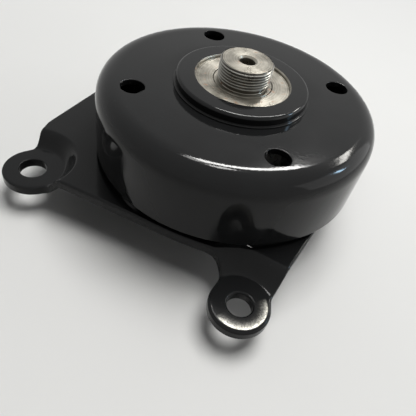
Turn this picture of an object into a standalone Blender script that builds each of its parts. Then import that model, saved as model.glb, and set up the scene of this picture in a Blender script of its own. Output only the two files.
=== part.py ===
"""Fan-drive pulley on a stamped bracket, modelled as the pieces that it comes apart into.

Metres, with +Z up the spindle towards its thread. The origin is on the spindle axis, in the plane
that the rear end of the bearing carrier stands in. The bracket's sides run along Y, nearly.
"""
from math import atan2, ceil, cos, degrees, hypot, pi, radians, sin, tan

import bmesh
import bpy
from mathutils import Matrix, Vector
from mathutils.geometry import delaunay_2d_cdt

MM = 0.001

# Clearances
SEAT_GAP = 0.3 * MM
RUNNING_GAP = 1.2 * MM
RIM_CLEARANCE = 3.0 * MM
MERGE_DISTANCE = 0.00001

# Pulley: a deep-drawn cup, open towards the bracket
PULLEY_RADIUS = 73.0 * MM
PULLEY_DEPTH = 39.0 * MM
PULLEY_SHEET = 3.0 * MM
PULLEY_FILLET = 8.5 * MM
PULLEY_DRAFT = 0.4 * MM
WEB_DISH_DEPTH = 0.3 * MM
WEB_DISH_WIDTH = 10.0 * MM
SPANNER_HOLES = 4
SPANNER_HOLE_DIAMETER = 12.1 * MM
SPANNER_HOLE_INSET = 17.4 * MM
SPANNER_HOLE_START = 45.0

# Hub: a stepped ring that carries the pulley's web
HUB_BASE_RADIUS = 35.1 * MM
HUB_BASE_HEIGHT = 0.6 * MM
HUB_LEDGE_WIDTH = 0.9 * MM
HUB_STEP_HEIGHT = 4.5 * MM
HUB_ROUND = 1.6 * MM
HUB_RECESS_RADIUS = 24.3 * MM
HUB_RECESS_DEPTH = 1.6 * MM
HUB_RECESS_CHAMFER = 0.6 * MM
HUB_SPIGOT_RADIUS = 28.0 * MM
HUB_SPIGOT_DROP = 5.1 * MM
HUB_SWAGE_WIDTH = 1.8 * MM
HUB_SWAGE_CHAMFER = 0.9 * MM

# Spindle
SHOULDER_STEP = 1.6 * MM
SPINDLE_FLANGE_STEP = 2.9 * MM
THREAD_DIAMETER = 27.0 * MM
THREAD_LENGTH = 11.5 * MM
THREAD_CHAMFER = 0.65 * MM
RELIEF_DEPTH = 1.1 * MM
RELIEF_WIDTH = 1.5 * MM
CENTRE_HOLE_DIAMETER = 8.0 * MM
CENTRE_HOLE_DEPTH = 13.0 * MM
COUNTERSINK = 0.9 * MM
DRILL_POINT_DEPTH = 2.4 * MM

# Ball bearings, front and rear alike
BEARING_BORE = 25.0 * MM
BEARING_OUTSIDE = 52.0 * MM
BEARING_WIDTH = 15.0 * MM
BALL_DIAMETER = 7.94 * MM
BALL_COUNT = 9
RING_GAP = 5.9 * MM
CAGE_SHEET = 1.6 * MM
CAGE_RAIL = 0.8 * MM
SEAL_THICKNESS = 1.0 * MM
SEAL_INSET = 0.3 * MM
SEAL_LIP_GAP = 0.5 * MM

# Retaining rings, washer and cap
CIRCLIP_THICKNESS = 1.4 * MM
CIRCLIP_WIDTH = 3.6 * MM
CIRCLIP_SEATING = 1.3 * MM
CIRCLIP_LUG = 2.4 * MM
CIRCLIP_MOUTH = 26.0
CIRCLIP_LUG_SPAN = 14.0
WASHER_THICKNESS = 1.2 * MM
WASHER_WIDTH = 4.5 * MM
SPINDLE_TAIL = 2.1 * MM
TAIL_CLEARANCE = 4.3 * MM
CAP_FACE = 2.5 * MM
CAP_WALL = 2.5 * MM

# Bearing carrier
CARRIER_WALL = 4.7 * MM
CARRIER_FLANGE_WIDTH = 9.0 * MM
CARRIER_FLANGE_THICKNESS = 4.5 * MM
CARRIER_LAND_WIDTH = 3.8 * MM
CARRIER_FILLET = 2.0 * MM
CARRIER_CHAMFER = 1.0 * MM
CARRIER_SWAGE_WIDTH = 2.2 * MM
CARRIER_SWAGE_HEIGHT = 2.6 * MM

# Bracket: a plate with three corner ears and a near tab, each pressed down to a bolt pad
PLATE_THICKNESS = 5.0 * MM
EAR_STANDOFF = 13.0 * MM
EAR_DROP = 8.4 * MM
LEFT_SIDE_X = -90.2 * MM
RIGHT_SIDE_X = 64.7 * MM
SIDE_FLARE = 4.2 * MM
NEAR_EAR_Y = -73.7 * MM
FAR_EAR_Y = 72.0 * MM
EAR_RADIUS = 15.3 * MM
EAR_OVERHANG = 0.7 * MM
EAR_HOLE_DIAMETER = 14.0 * MM
EAR_PAD_RADIUS = 15.4 * MM
EAR_RAMP = 8.2 * MM
EAR_SIDE_RUN = 27.0 * MM
EAR_SIDE_ROUND = 12.0 * MM
EAR_NOTCH_RUN = 7.0 * MM
EAR_NOTCH_ROUND = 7.0 * MM
EAR_EDGE_RUN = 3.4 * MM
EAR_EDGE_ROUND = 5.0 * MM
EAR_TANGENTS = (153.0, 210.0, 270.0, 325.0)
TAB_Y = -80.3 * MM
TAB_RADIUS = 14.5 * MM
TAB_OVERHANG = 3.9 * MM
TAB_HOLE_DIAMETER = 12.0 * MM
TAB_PAD_RADIUS = 14.5 * MM
TAB_RAMP = 11.2 * MM
TAB_CORNER_RAMP = 15.5 * MM
TAB_ROOT_Y = -65.4 * MM
TAB_ROOT_ROUND = 8.0 * MM
TAB_SHOULDER_TURN = 25.0
TAB_SHOULDER_ROUND = 8.0 * MM
NEAR_EDGE_X = 12.0 * MM
NEAR_EDGE_Y = -71.0 * MM
NEAR_EDGE_SWEEP = 40.0 * MM

# Facets
PULLEY_STEPS = 56
HUB_STEPS = 40
SPINDLE_STEPS = 28
CARRIER_STEPS = 32
RING_STEPS = 24
SMALL_STEPS = 24
CAGE_STEPS = 27
POCKET_STEPS = 10
HOLE_STEPS = 20
FILLET_STEPS = 5
ROUND_STEPS = 3
DISH_STEPS = 2
ARC_STEP = 22.5
GROOVE_STEPS = 5
JOGGLE_RINGS = 3

# Heights up the spindle
EAR_TOP_Z = EAR_STANDOFF + PLATE_THICKNESS
PLATE_TOP_Z = EAR_TOP_Z + EAR_DROP
RIM_Z = PLATE_TOP_Z + RIM_CLEARANCE
FACE_Z = RIM_Z + PULLEY_DEPTH
HUB_SEAT_Z = FACE_Z - WEB_DISH_DEPTH
HUB_BOTTOM_Z = HUB_SEAT_Z - PULLEY_SHEET - HUB_SPIGOT_DROP
HUB_TOP_Z = HUB_SEAT_Z + SEAT_GAP + HUB_BASE_HEIGHT + HUB_STEP_HEIGHT
RECESS_Z = HUB_TOP_Z - HUB_RECESS_DEPTH
THREAD_TOP_Z = RECESS_Z + THREAD_LENGTH
CARRIER_TOP_Z = HUB_BOTTOM_Z - RUNNING_GAP
FRONT_CIRCLIP_TOP_Z = CARRIER_TOP_Z - CIRCLIP_THICKNESS
FRONT_BEARING_TOP_Z = FRONT_CIRCLIP_TOP_Z - CIRCLIP_THICKNESS - SEAT_GAP
FRONT_BEARING_Z = FRONT_BEARING_TOP_Z - BEARING_WIDTH / 2
SPINDLE_BOTTOM_Z = CAP_FACE + TAIL_CLEARANCE
REAR_CIRCLIP_BOTTOM_Z = SPINDLE_BOTTOM_Z + SPINDLE_TAIL + SEAT_GAP
REAR_CIRCLIP_TOP_Z = REAR_CIRCLIP_BOTTOM_Z + CIRCLIP_THICKNESS
WASHER_BOTTOM_Z = REAR_CIRCLIP_TOP_Z + SEAT_GAP
REAR_BEARING_BOTTOM_Z = WASHER_BOTTOM_Z + WASHER_THICKNESS + SEAT_GAP
REAR_BEARING_Z = REAR_BEARING_BOTTOM_Z + BEARING_WIDTH / 2
LAND_TOP_Z = FRONT_BEARING_Z - BEARING_WIDTH / 2 - SEAT_GAP
LAND_BOTTOM_Z = REAR_BEARING_Z + BEARING_WIDTH / 2 + SEAT_GAP
SHOULDER_Z = FRONT_BEARING_TOP_Z + SEAT_GAP

# Radii of the pulley, hub and spindle
SPANNER_HOLE_RADIUS = PULLEY_RADIUS - SPANNER_HOLE_INSET
WEB_DISH_RADIUS = HUB_BASE_RADIUS + WEB_DISH_WIDTH
HUB_STEP_RADIUS = HUB_BASE_RADIUS - HUB_LEDGE_WIDTH
THREAD_RADIUS = THREAD_DIAMETER / 2
SHOULDER_RADIUS = THREAD_RADIUS + SHOULDER_STEP
SPINDLE_FLANGE_RADIUS = SHOULDER_RADIUS + SPINDLE_FLANGE_STEP

# Bolt pads. The plate's sides flare out towards the far ears
LEFT_EAR_X = LEFT_SIDE_X + EAR_RADIUS - EAR_OVERHANG
FAR_LEFT_EAR_X = LEFT_EAR_X - SIDE_FLARE
FAR_RIGHT_EAR_X = RIGHT_SIDE_X + SIDE_FLARE - EAR_RADIUS + EAR_OVERHANG
TAB_X = RIGHT_SIDE_X - TAB_RADIUS + TAB_OVERHANG

# Radii inside the carrier
JOURNAL_RADIUS = BEARING_BORE / 2 - SEAT_GAP
BEARING_SEAT_RADIUS = BEARING_OUTSIDE / 2 + SEAT_GAP
BALL_RADIUS = BALL_DIAMETER / 2
RACE_RADIUS = BALL_RADIUS + SEAT_GAP
PITCH_RADIUS = (BEARING_BORE + BEARING_OUTSIDE) / 4
INNER_LAND_RADIUS = PITCH_RADIUS - RING_GAP / 2
OUTER_LAND_RADIUS = PITCH_RADIUS + RING_GAP / 2
CARRIER_RADIUS = BEARING_SEAT_RADIUS + CARRIER_WALL
CARRIER_FLANGE_RADIUS = CARRIER_RADIUS + CARRIER_FLANGE_WIDTH
CARRIER_LAND_RADIUS = BEARING_SEAT_RADIUS - CARRIER_LAND_WIDTH


def finish(name, colour, roughness, metallic):
    """A plain Principled material."""
    material = bpy.data.materials.new(name)
    material.use_nodes = True
    shader = material.node_tree.nodes["Principled BSDF"]
    shader.inputs["Base Color"].default_value = (*colour, 1.0)
    shader.inputs["Roughness"].default_value = roughness
    shader.inputs["Metallic"].default_value = metallic
    return material


def axis_empty(name, height):
    """An empty on the spindle axis that carries the pieces turning about it."""
    empty = bpy.data.objects.new(name, None)
    empty.location.z = height
    bpy.context.collection.objects.link(empty)
    return empty


def place(name, mesh, material, parent=None, location=(0.0, 0.0, 0.0)):
    """Turn a bmesh into a smooth-shaded object under its parent."""
    bmesh.ops.recalc_face_normals(mesh, faces=mesh.faces)
    data = bpy.data.meshes.new(name)
    mesh.to_mesh(data)
    mesh.free()
    data.shade_smooth()
    data.set_sharp_from_angle(angle=radians(35))
    data.materials.append(material)
    piece = bpy.data.objects.new(name, data)
    piece.location = location
    piece.parent = parent
    bpy.context.collection.objects.link(piece)
    return piece


def arc(centre, radius, start, end, steps):
    """Points on an arc, with both ends. Angles are in degrees."""
    angles = [radians(start + (end - start) * i / steps) for i in range(steps + 1)]
    return [(centre[0] + radius * cos(a), centre[1] + radius * sin(a)) for a in angles]


def circle(centre, radius, steps):
    """Points once round a circle."""
    return arc(centre, radius, 0.0, 360.0, steps)[:-1]


def rounded(corners):
    """An outline through corners given as (x, y, radius), each turned into an arc."""
    points = []
    for i, (x, y, radius) in enumerate(corners):
        corner = Vector((x, y))
        back = (Vector(corners[i - 1][:2]) - corner).normalized()
        ahead = (Vector(corners[(i + 1) % len(corners)][:2]) - corner).normalized()
        half = back.angle(ahead) / 2
        centre = corner + (back + ahead).normalized() * radius / sin(half)
        first = corner + back * radius / tan(half) - centre
        last = corner + ahead * radius / tan(half) - centre
        start = degrees(atan2(first.y, first.x))
        turn = degrees(atan2(first.cross(last), first.dot(last)))
        points += arc(centre, radius, start, start + turn, ceil(abs(turn) / ARC_STEP))
    return points


def turned(profile, steps):
    """Spin a closed outline of (radius, height) points once round the Z axis."""
    mesh = bmesh.new()
    ring = [mesh.verts.new((radius, 0.0, height)) for radius, height in profile]
    edges = []
    for here, there in zip(ring, ring[1:] + ring[:1]):
        if here.co.x > 0 or there.co.x > 0:
            edges.append(mesh.edges.new((here, there)))
    bmesh.ops.spin(mesh, geom=ring + edges, axis=(0, 0, 1), angle=2 * pi, steps=steps, use_merge=True)
    bmesh.ops.remove_doubles(mesh, verts=mesh.verts, dist=MERGE_DISTANCE)
    return mesh


def extruded(outline, bottom, height):
    """A flat outline pushed up into a prism."""
    mesh = bmesh.new()
    face = mesh.faces.new([mesh.verts.new((x, y, bottom)) for x, y in outline])
    raised = bmesh.ops.extrude_face_region(mesh, geom=[face])
    tops = [item for item in raised["geom"] if isinstance(item, bmesh.types.BMVert)]
    bmesh.ops.translate(mesh, verts=tops, vec=(0, 0, height))
    return mesh


def drill(piece, name, rods):
    """Cut rods, given as (diameter, length, placement, sides), out of a piece."""
    mesh = bmesh.new()
    for diameter, length, placement, sides in rods:
        bmesh.ops.create_cone(mesh, cap_ends=True, segments=sides, radius1=diameter / 2,
                              radius2=diameter / 2, depth=length, matrix=placement)
    data = bpy.data.meshes.new(name)
    mesh.to_mesh(data)
    mesh.free()
    cutter = bpy.data.objects.new(name, data)
    cutter.parent = piece.parent
    cutter.hide_render = True
    cutter.display_type = "WIRE"
    bpy.context.collection.objects.link(cutter)
    cut = piece.modifiers.new(name, "BOOLEAN")
    cut.operation = "DIFFERENCE"
    cut.solver = "EXACT"
    cut.object = cutter


def eased(share):
    """An S-curve from 0 to 1."""
    share = min(max(share, 0.0), 1.0)
    return share * share * (3 - 2 * share)


def make_pulley(material, parent):
    """The drawn cup: belt wall, rolled front edge, web dished down to the hub, spanner holes."""
    inside = PULLEY_FILLET - PULLEY_SHEET
    shoulder = PULLEY_RADIUS - PULLEY_FILLET
    bore = HUB_SPIGOT_RADIUS + SEAT_GAP
    dish = []
    for i in range(DISH_STEPS + 1):
        share = i / DISH_STEPS
        radius = WEB_DISH_RADIUS + (HUB_BASE_RADIUS - WEB_DISH_RADIUS) * share
        dish.append((radius, FACE_Z - WEB_DISH_DEPTH * share ** 2))
    outside = [(PULLEY_RADIUS - PULLEY_DRAFT, RIM_Z)]
    outside += arc((shoulder, FACE_Z - PULLEY_FILLET), PULLEY_FILLET, 0, 90, FILLET_STEPS)
    outside += dish + [(bore, HUB_SEAT_Z)]
    under = [(bore, HUB_SEAT_Z - PULLEY_SHEET)]
    under += [(radius, height - PULLEY_SHEET) for radius, height in reversed(dish)]
    under += arc((shoulder, FACE_Z - PULLEY_FILLET), inside, 90, 0, FILLET_STEPS - 2)
    under += [(PULLEY_RADIUS - PULLEY_DRAFT - PULLEY_SHEET, RIM_Z)]
    piece = place("pulley_shell", turned(outside + under, PULLEY_STEPS), material, parent)
    rods = []
    for i in range(SPANNER_HOLES):
        angle = radians(SPANNER_HOLE_START + 360 * i / SPANNER_HOLES)
        middle = Vector((cos(angle), sin(angle), 0)) * SPANNER_HOLE_RADIUS
        middle.z = FACE_Z - PULLEY_SHEET / 2
        rods.append((SPANNER_HOLE_DIAMETER, 4 * PULLEY_SHEET, Matrix.Translation(middle), HOLE_STEPS))
    drill(piece, "spanner_hole_cutter", rods)


def make_hub(material, parent):
    """The stepped ring on the pulley's web, swaged under it, with a turned recess round the spindle."""
    base = HUB_SEAT_Z + SEAT_GAP
    ledge = base + HUB_BASE_HEIGHT
    bore = SHOULDER_RADIUS + SEAT_GAP
    profile = [(bore, RECESS_Z), (HUB_RECESS_RADIUS, RECESS_Z)]
    profile += [(HUB_RECESS_RADIUS, HUB_TOP_Z - HUB_RECESS_CHAMFER)]
    profile += [(HUB_RECESS_RADIUS + HUB_RECESS_CHAMFER, HUB_TOP_Z)]
    profile += arc((HUB_STEP_RADIUS - HUB_ROUND, HUB_TOP_Z - HUB_ROUND), HUB_ROUND, 90, 0, ROUND_STEPS)
    profile += [(HUB_STEP_RADIUS, ledge), (HUB_BASE_RADIUS, ledge)]
    profile += [(HUB_BASE_RADIUS, base), (HUB_SPIGOT_RADIUS, base)]
    swage_top = HUB_SEAT_Z - PULLEY_SHEET - SEAT_GAP
    swage = HUB_SPIGOT_RADIUS + HUB_SWAGE_WIDTH
    profile += [(HUB_SPIGOT_RADIUS, swage_top), (swage, swage_top)]
    profile += [(swage, HUB_BOTTOM_Z + HUB_SWAGE_CHAMFER), (swage - HUB_SWAGE_CHAMFER, HUB_BOTTOM_Z)]
    profile += [(bore, HUB_BOTTOM_Z)]
    place("hub", turned(profile, HUB_STEPS), material, parent)


def make_spindle(material, parent):
    """The shaft: tail with a ring groove, journal, flange, shoulder, relief and thread blank."""
    groove = JOURNAL_RADIUS - CIRCLIP_SEATING
    relief = THREAD_RADIUS - RELIEF_DEPTH
    hole = CENTRE_HOLE_DIAMETER / 2
    floor = THREAD_TOP_Z - CENTRE_HOLE_DEPTH
    flange_top = HUB_BOTTOM_Z - SEAT_GAP
    groove_bottom = REAR_CIRCLIP_BOTTOM_Z - SEAT_GAP
    groove_top = REAR_CIRCLIP_TOP_Z + SEAT_GAP / 2
    profile = [(0.0, SPINDLE_BOTTOM_Z), (groove, SPINDLE_BOTTOM_Z)]
    profile += [(JOURNAL_RADIUS, SPINDLE_BOTTOM_Z + JOURNAL_RADIUS - groove)]
    profile += [(JOURNAL_RADIUS, groove_bottom), (groove, groove_bottom)]
    profile += [(groove, groove_top), (JOURNAL_RADIUS, groove_top)]
    profile += [(JOURNAL_RADIUS, SHOULDER_Z), (SPINDLE_FLANGE_RADIUS, SHOULDER_Z)]
    profile += [(SPINDLE_FLANGE_RADIUS, flange_top), (SHOULDER_RADIUS, flange_top)]
    profile += [(SHOULDER_RADIUS, RECESS_Z), (relief, RECESS_Z), (relief, RECESS_Z + RELIEF_WIDTH)]
    profile += [(THREAD_RADIUS, RECESS_Z + RELIEF_WIDTH + RELIEF_DEPTH)]
    profile += [(THREAD_RADIUS, THREAD_TOP_Z - THREAD_CHAMFER)]
    profile += [(THREAD_RADIUS - THREAD_CHAMFER, THREAD_TOP_Z), (hole + COUNTERSINK, THREAD_TOP_Z)]
    profile += [(hole, THREAD_TOP_Z - COUNTERSINK), (hole, floor), (0.0, floor - DRILL_POINT_DEPTH)]
    place("spindle", turned(profile, SPINDLE_STEPS), material, parent)


def make_carrier(material):
    """The turned tube that holds both bearings: its flange and a swaged collar grip the plate."""
    flange_bottom = PLATE_TOP_Z + SEAT_GAP
    flange_top = flange_bottom + CARRIER_FLANGE_THICKNESS
    groove_bottom = FRONT_CIRCLIP_TOP_Z - CIRCLIP_THICKNESS - SEAT_GAP / 2
    groove_top = FRONT_CIRCLIP_TOP_Z + SEAT_GAP
    groove = BEARING_SEAT_RADIUS + CIRCLIP_SEATING
    collar = CARRIER_RADIUS + CARRIER_SWAGE_WIDTH
    collar_top = PLATE_TOP_Z - PLATE_THICKNESS - SEAT_GAP
    collar_bottom = collar_top - CARRIER_SWAGE_HEIGHT
    profile = [(BEARING_SEAT_RADIUS, 0.0), (CARRIER_RADIUS - CARRIER_CHAMFER, 0.0)]
    profile += [(CARRIER_RADIUS, CARRIER_CHAMFER), (CARRIER_RADIUS, collar_bottom)]
    profile += [(collar, collar_bottom + CARRIER_CHAMFER), (collar, collar_top)]
    profile += [(CARRIER_RADIUS, collar_top), (CARRIER_RADIUS, flange_bottom)]
    profile += [(CARRIER_FLANGE_RADIUS, flange_bottom), (CARRIER_FLANGE_RADIUS, flange_top)]
    root = (CARRIER_RADIUS + CARRIER_FILLET, flange_top + CARRIER_FILLET)
    profile += arc(root, CARRIER_FILLET, 270, 180, ROUND_STEPS)
    profile += [(CARRIER_RADIUS, CARRIER_TOP_Z - CARRIER_CHAMFER)]
    profile += [(CARRIER_RADIUS - CARRIER_CHAMFER, CARRIER_TOP_Z), (BEARING_SEAT_RADIUS, CARRIER_TOP_Z)]
    profile += [(BEARING_SEAT_RADIUS, groove_top), (groove, groove_top)]
    profile += [(groove, groove_bottom), (BEARING_SEAT_RADIUS, groove_bottom)]
    profile += [(BEARING_SEAT_RADIUS, LAND_TOP_Z), (CARRIER_LAND_RADIUS, LAND_TOP_Z)]
    profile += [(CARRIER_LAND_RADIUS, LAND_BOTTOM_Z), (BEARING_SEAT_RADIUS, LAND_BOTTOM_Z)]
    place("bearing_carrier", turned(profile, CARRIER_STEPS), material)


def make_rear_cap(material):
    """The pressed cup that closes the carrier and backs the rear bearing's outer ring."""
    outer = BEARING_SEAT_RADIUS - SEAT_GAP
    top = REAR_BEARING_BOTTOM_Z - SEAT_GAP
    profile = [(0.0, 0.0), (outer, 0.0), (outer, top), (outer - CAP_WALL, top)]
    profile += [(outer - CAP_WALL, CAP_FACE), (0.0, CAP_FACE)]
    place("rear_cap", turned(profile, SPINDLE_STEPS), material)


def flat_ring(name, inner, outer, bottom, thickness, material, parent=None):
    """A washer-like ring."""
    top = bottom + thickness
    profile = [(inner, bottom), (outer, bottom), (outer, top), (inner, top)]
    place(name, turned(profile, SMALL_STEPS), material, parent)


def make_circlip(name, seat, towards, bottom, material, parent=None):
    """An open spring ring. Its lugs point out (towards 1) or in (towards -1) from the seat radius."""
    edge = seat + towards * CIRCLIP_WIDTH
    lug = edge + towards * CIRCLIP_LUG
    first = CIRCLIP_MOUTH / 2
    last = 360 - first
    outline = arc((0, 0), seat, first, last, SMALL_STEPS)
    outline += arc((0, 0), lug, last, last - CIRCLIP_LUG_SPAN, 2)
    outline += arc((0, 0), edge, last - CIRCLIP_LUG_SPAN, first + CIRCLIP_LUG_SPAN, SMALL_STEPS)
    outline += arc((0, 0), lug, first + CIRCLIP_LUG_SPAN, first, 2)
    place(name, extruded(outline, bottom, CIRCLIP_THICKNESS), material, parent)


def make_bearing(side, height, steel, cage_metal, rubber, turning, cage_axis):
    """One ball bearing: two raced rings, two seals, a pocketed cage and its balls."""
    half = BEARING_WIDTH / 2
    race_in = PITCH_RADIUS - INNER_LAND_RADIUS
    race_out = OUTER_LAND_RADIUS - PITCH_RADIUS
    spread_in = degrees(atan2((RACE_RADIUS ** 2 - race_in ** 2) ** 0.5, race_in))
    spread_out = degrees(atan2((RACE_RADIUS ** 2 - race_out ** 2) ** 0.5, race_out))
    bore = BEARING_BORE / 2
    outside = BEARING_OUTSIDE / 2
    inner = [(bore, -half), (INNER_LAND_RADIUS, -half)]
    inner += arc((PITCH_RADIUS, 0.0), RACE_RADIUS, 180 + spread_in, 180 - spread_in, GROOVE_STEPS)
    inner += [(INNER_LAND_RADIUS, half), (bore, half)]
    outer = [(outside, -half), (outside, half), (OUTER_LAND_RADIUS, half)]
    outer += arc((PITCH_RADIUS, 0.0), RACE_RADIUS, spread_out, -spread_out, GROOVE_STEPS)
    outer += [(OUTER_LAND_RADIUS, -half)]
    spot = (0, 0, height)
    place(side + "_inner_ring", turned(inner, RING_STEPS), steel, turning, spot)
    place(side + "_outer_ring", turned(outer, RING_STEPS), steel, None, spot)
    lip = INNER_LAND_RADIUS + SEAL_LIP_GAP
    rim = OUTER_LAND_RADIUS - SEAT_GAP
    upper = height + half - SEAL_INSET - SEAL_THICKNESS
    lower = height - half + SEAL_INSET
    flat_ring(side + "_upper_seal", lip, rim, upper, SEAL_THICKNESS, rubber)
    flat_ring(side + "_lower_seal", lip, rim, lower, SEAL_THICKNESS, rubber)
    edge = RACE_RADIUS + CAGE_RAIL
    band = [(PITCH_RADIUS - CAGE_SHEET / 2, -edge), (PITCH_RADIUS + CAGE_SHEET / 2, -edge)]
    band += [(radius, edge) for radius, _ in reversed(band)]
    cage = place(side + "_cage", turned(band, CAGE_STEPS), cage_metal, cage_axis)
    pockets = []
    for i in range(BALL_COUNT):
        turn = Matrix.Rotation(2 * pi * i / BALL_COUNT, 4, "Z")
        spoke = turn @ Matrix.Translation((PITCH_RADIUS, 0, 0)) @ Matrix.Rotation(pi / 2, 4, "Y")
        pockets.append((2 * RACE_RADIUS, 4 * CAGE_SHEET, spoke, POCKET_STEPS))
        ball = bmesh.new()
        bmesh.ops.create_icosphere(ball, subdivisions=2, radius=BALL_RADIUS)
        centre = turn @ Vector((PITCH_RADIUS, 0, 0))
        place(f"{side}_ball_{i + 1}", ball, steel, cage_axis, centre)
    drill(cage, side + "_pocket_cutter", pockets)


def tangent(radius, angle, run):
    """A point on the line that touches a circle at an angle, that far on from where they touch."""
    out = Vector((cos(radians(angle)), sin(radians(angle))))
    return out * radius + Vector((-out.y, out.x)) * run


def corner_ear(x, y, along, across):
    """Corners round a left-hand near ear, turned over in X or Y for the others."""
    first = EAR_TANGENTS[0]
    last = EAR_TANGENTS[-1]
    corners = [(EAR_OVERHANG - EAR_RADIUS, EAR_SIDE_RUN, EAR_SIDE_ROUND)]
    corners.append((*tangent(EAR_RADIUS, first, -EAR_NOTCH_RUN), EAR_NOTCH_ROUND))
    for here, there in zip(EAR_TANGENTS, EAR_TANGENTS[1:]):
        run = EAR_RADIUS * tan(radians(there - here) / 2)
        corners.append((*tangent(EAR_RADIUS, here, run), EAR_RADIUS))
    corners.append((*tangent(EAR_RADIUS, last, EAR_EDGE_RUN), EAR_EDGE_ROUND))
    corners = [(x + along * px, y + across * py, radius) for px, py, radius in corners]
    return corners if along == across else corners[::-1]


def bracket_outline():
    """The plate's plan: flared sides, two corner ears at the far end, one near, and a near tab."""
    corners = corner_ear(LEFT_EAR_X, NEAR_EAR_Y, 1, 1)
    corners.append((NEAR_EDGE_X, NEAR_EDGE_Y, NEAR_EDGE_SWEEP))
    corners.append((TAB_X - TAB_RADIUS, TAB_ROOT_Y, TAB_ROOT_ROUND))
    corners.append((TAB_X - TAB_RADIUS, TAB_Y - TAB_RADIUS, TAB_RADIUS))
    corners.append((TAB_X + TAB_RADIUS, TAB_Y - TAB_RADIUS, TAB_RADIUS))
    turn = radians(TAB_SHOULDER_TURN)
    shoulder = TAB_Y + TAB_RADIUS * tan(turn / 2)
    corners.append((TAB_X + TAB_RADIUS, shoulder, TAB_RADIUS))
    corners.append((RIGHT_SIDE_X, shoulder + TAB_OVERHANG / tan(turn), TAB_SHOULDER_ROUND))
    corners += corner_ear(FAR_RIGHT_EAR_X, FAR_EAR_Y, -1, -1)
    corners += corner_ear(FAR_LEFT_EAR_X, FAR_EAR_Y, 1, -1)
    return rounded(corners)


def bend_reach(ear, angle):
    """How far from an ear's hole its upper bend lies: straight across at first, then round."""
    straight, limit = ear[4:]
    return straight / max(sin(angle), straight / limit)


def joggle(ear, dx, dy):
    """The share of the drop that is left to climb back at an offset from an ear's hole."""
    pad = ear[3]
    reach = bend_reach(ear, atan2(dy, dx))
    return eased((hypot(dx, dy) - pad) / (reach - pad))


def within(point, outline):
    """Whether a point lies inside an outline."""
    inside = False
    for (x1, y1), (x2, y2) in zip(outline, outline[1:] + outline[:1]):
        if (y1 > point.y) != (y2 > point.y):
            crossing = x1 + (x2 - x1) * (point.y - y1) / (y2 - y1)
            inside = inside != (point.x < crossing)
    return inside


def make_bracket(material):
    """The stamped sheet: one flat plan, pressed down to a pad round each bolt hole."""
    bend = EAR_PAD_RADIUS + EAR_RAMP
    corner = (EAR_HOLE_DIAMETER / 2, EAR_PAD_RADIUS, bend, bend)
    ears = [(LEFT_EAR_X, NEAR_EAR_Y, *corner)]
    ears.append((FAR_LEFT_EAR_X, FAR_EAR_Y, *corner))
    ears.append((FAR_RIGHT_EAR_X, FAR_EAR_Y, *corner))
    tab = (TAB_HOLE_DIAMETER / 2, TAB_PAD_RADIUS, TAB_PAD_RADIUS + TAB_RAMP, TAB_PAD_RADIUS + TAB_CORNER_RAMP)
    ears.append((TAB_X, TAB_Y, *tab))
    outline = bracket_outline()
    holes = [((0.0, 0.0), CARRIER_RADIUS + SEAT_GAP, CARRIER_STEPS)]
    holes += [(ear[:2], ear[2], HOLE_STEPS) for ear in ears]
    loops = [outline] + [circle(*hole) for hole in holes]
    for ear in ears:
        for ring in range(JOGGLE_RINGS + 1):
            loop = []
            for i in range(HOLE_STEPS):
                angle = 2 * pi * i / HOLE_STEPS
                climb = bend_reach(ear, angle) - ear[3]
                radius = ear[3] + climb * ring / JOGGLE_RINGS
                loop.append((ear[0] + radius * cos(angle), ear[1] + radius * sin(angle)))
            loops.append(loop)
    points = []
    edges = []
    for loop in loops:
        first = len(points)
        points += [Vector(point) for point in loop]
        edges += [(first + i, first + (i + 1) % len(loop)) for i in range(len(loop))]
    plan = delaunay_2d_cdt(points, edges, [], 0, MERGE_DISTANCE)

    mesh = bmesh.new()
    corners = []
    for point in plan[0]:
        climb = min(joggle(ear, point.x - ear[0], point.y - ear[1]) for ear in ears)
        corners.append(mesh.verts.new((point.x, point.y, EAR_TOP_Z + EAR_DROP * climb)))
    sheet = []
    for face in plan[2]:
        middle = sum((plan[0][i] for i in face), Vector((0, 0))) / len(face)
        holed = any((middle - Vector(hole[0])).length < hole[1] * cos(pi / hole[2]) for hole in holes)
        if within(middle, outline) and not holed:
            sheet.append(mesh.faces.new([corners[i] for i in face]))
    bmesh.ops.delete(mesh, geom=[corner for corner in corners if not corner.link_faces], context="VERTS")
    lowered = bmesh.ops.extrude_face_region(mesh, geom=sheet)
    bottoms = [item for item in lowered["geom"] if isinstance(item, bmesh.types.BMVert)]
    bmesh.ops.translate(mesh, verts=bottoms, vec=(0, 0, -PLATE_THICKNESS))
    place("bracket_plate", mesh, material)


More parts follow.
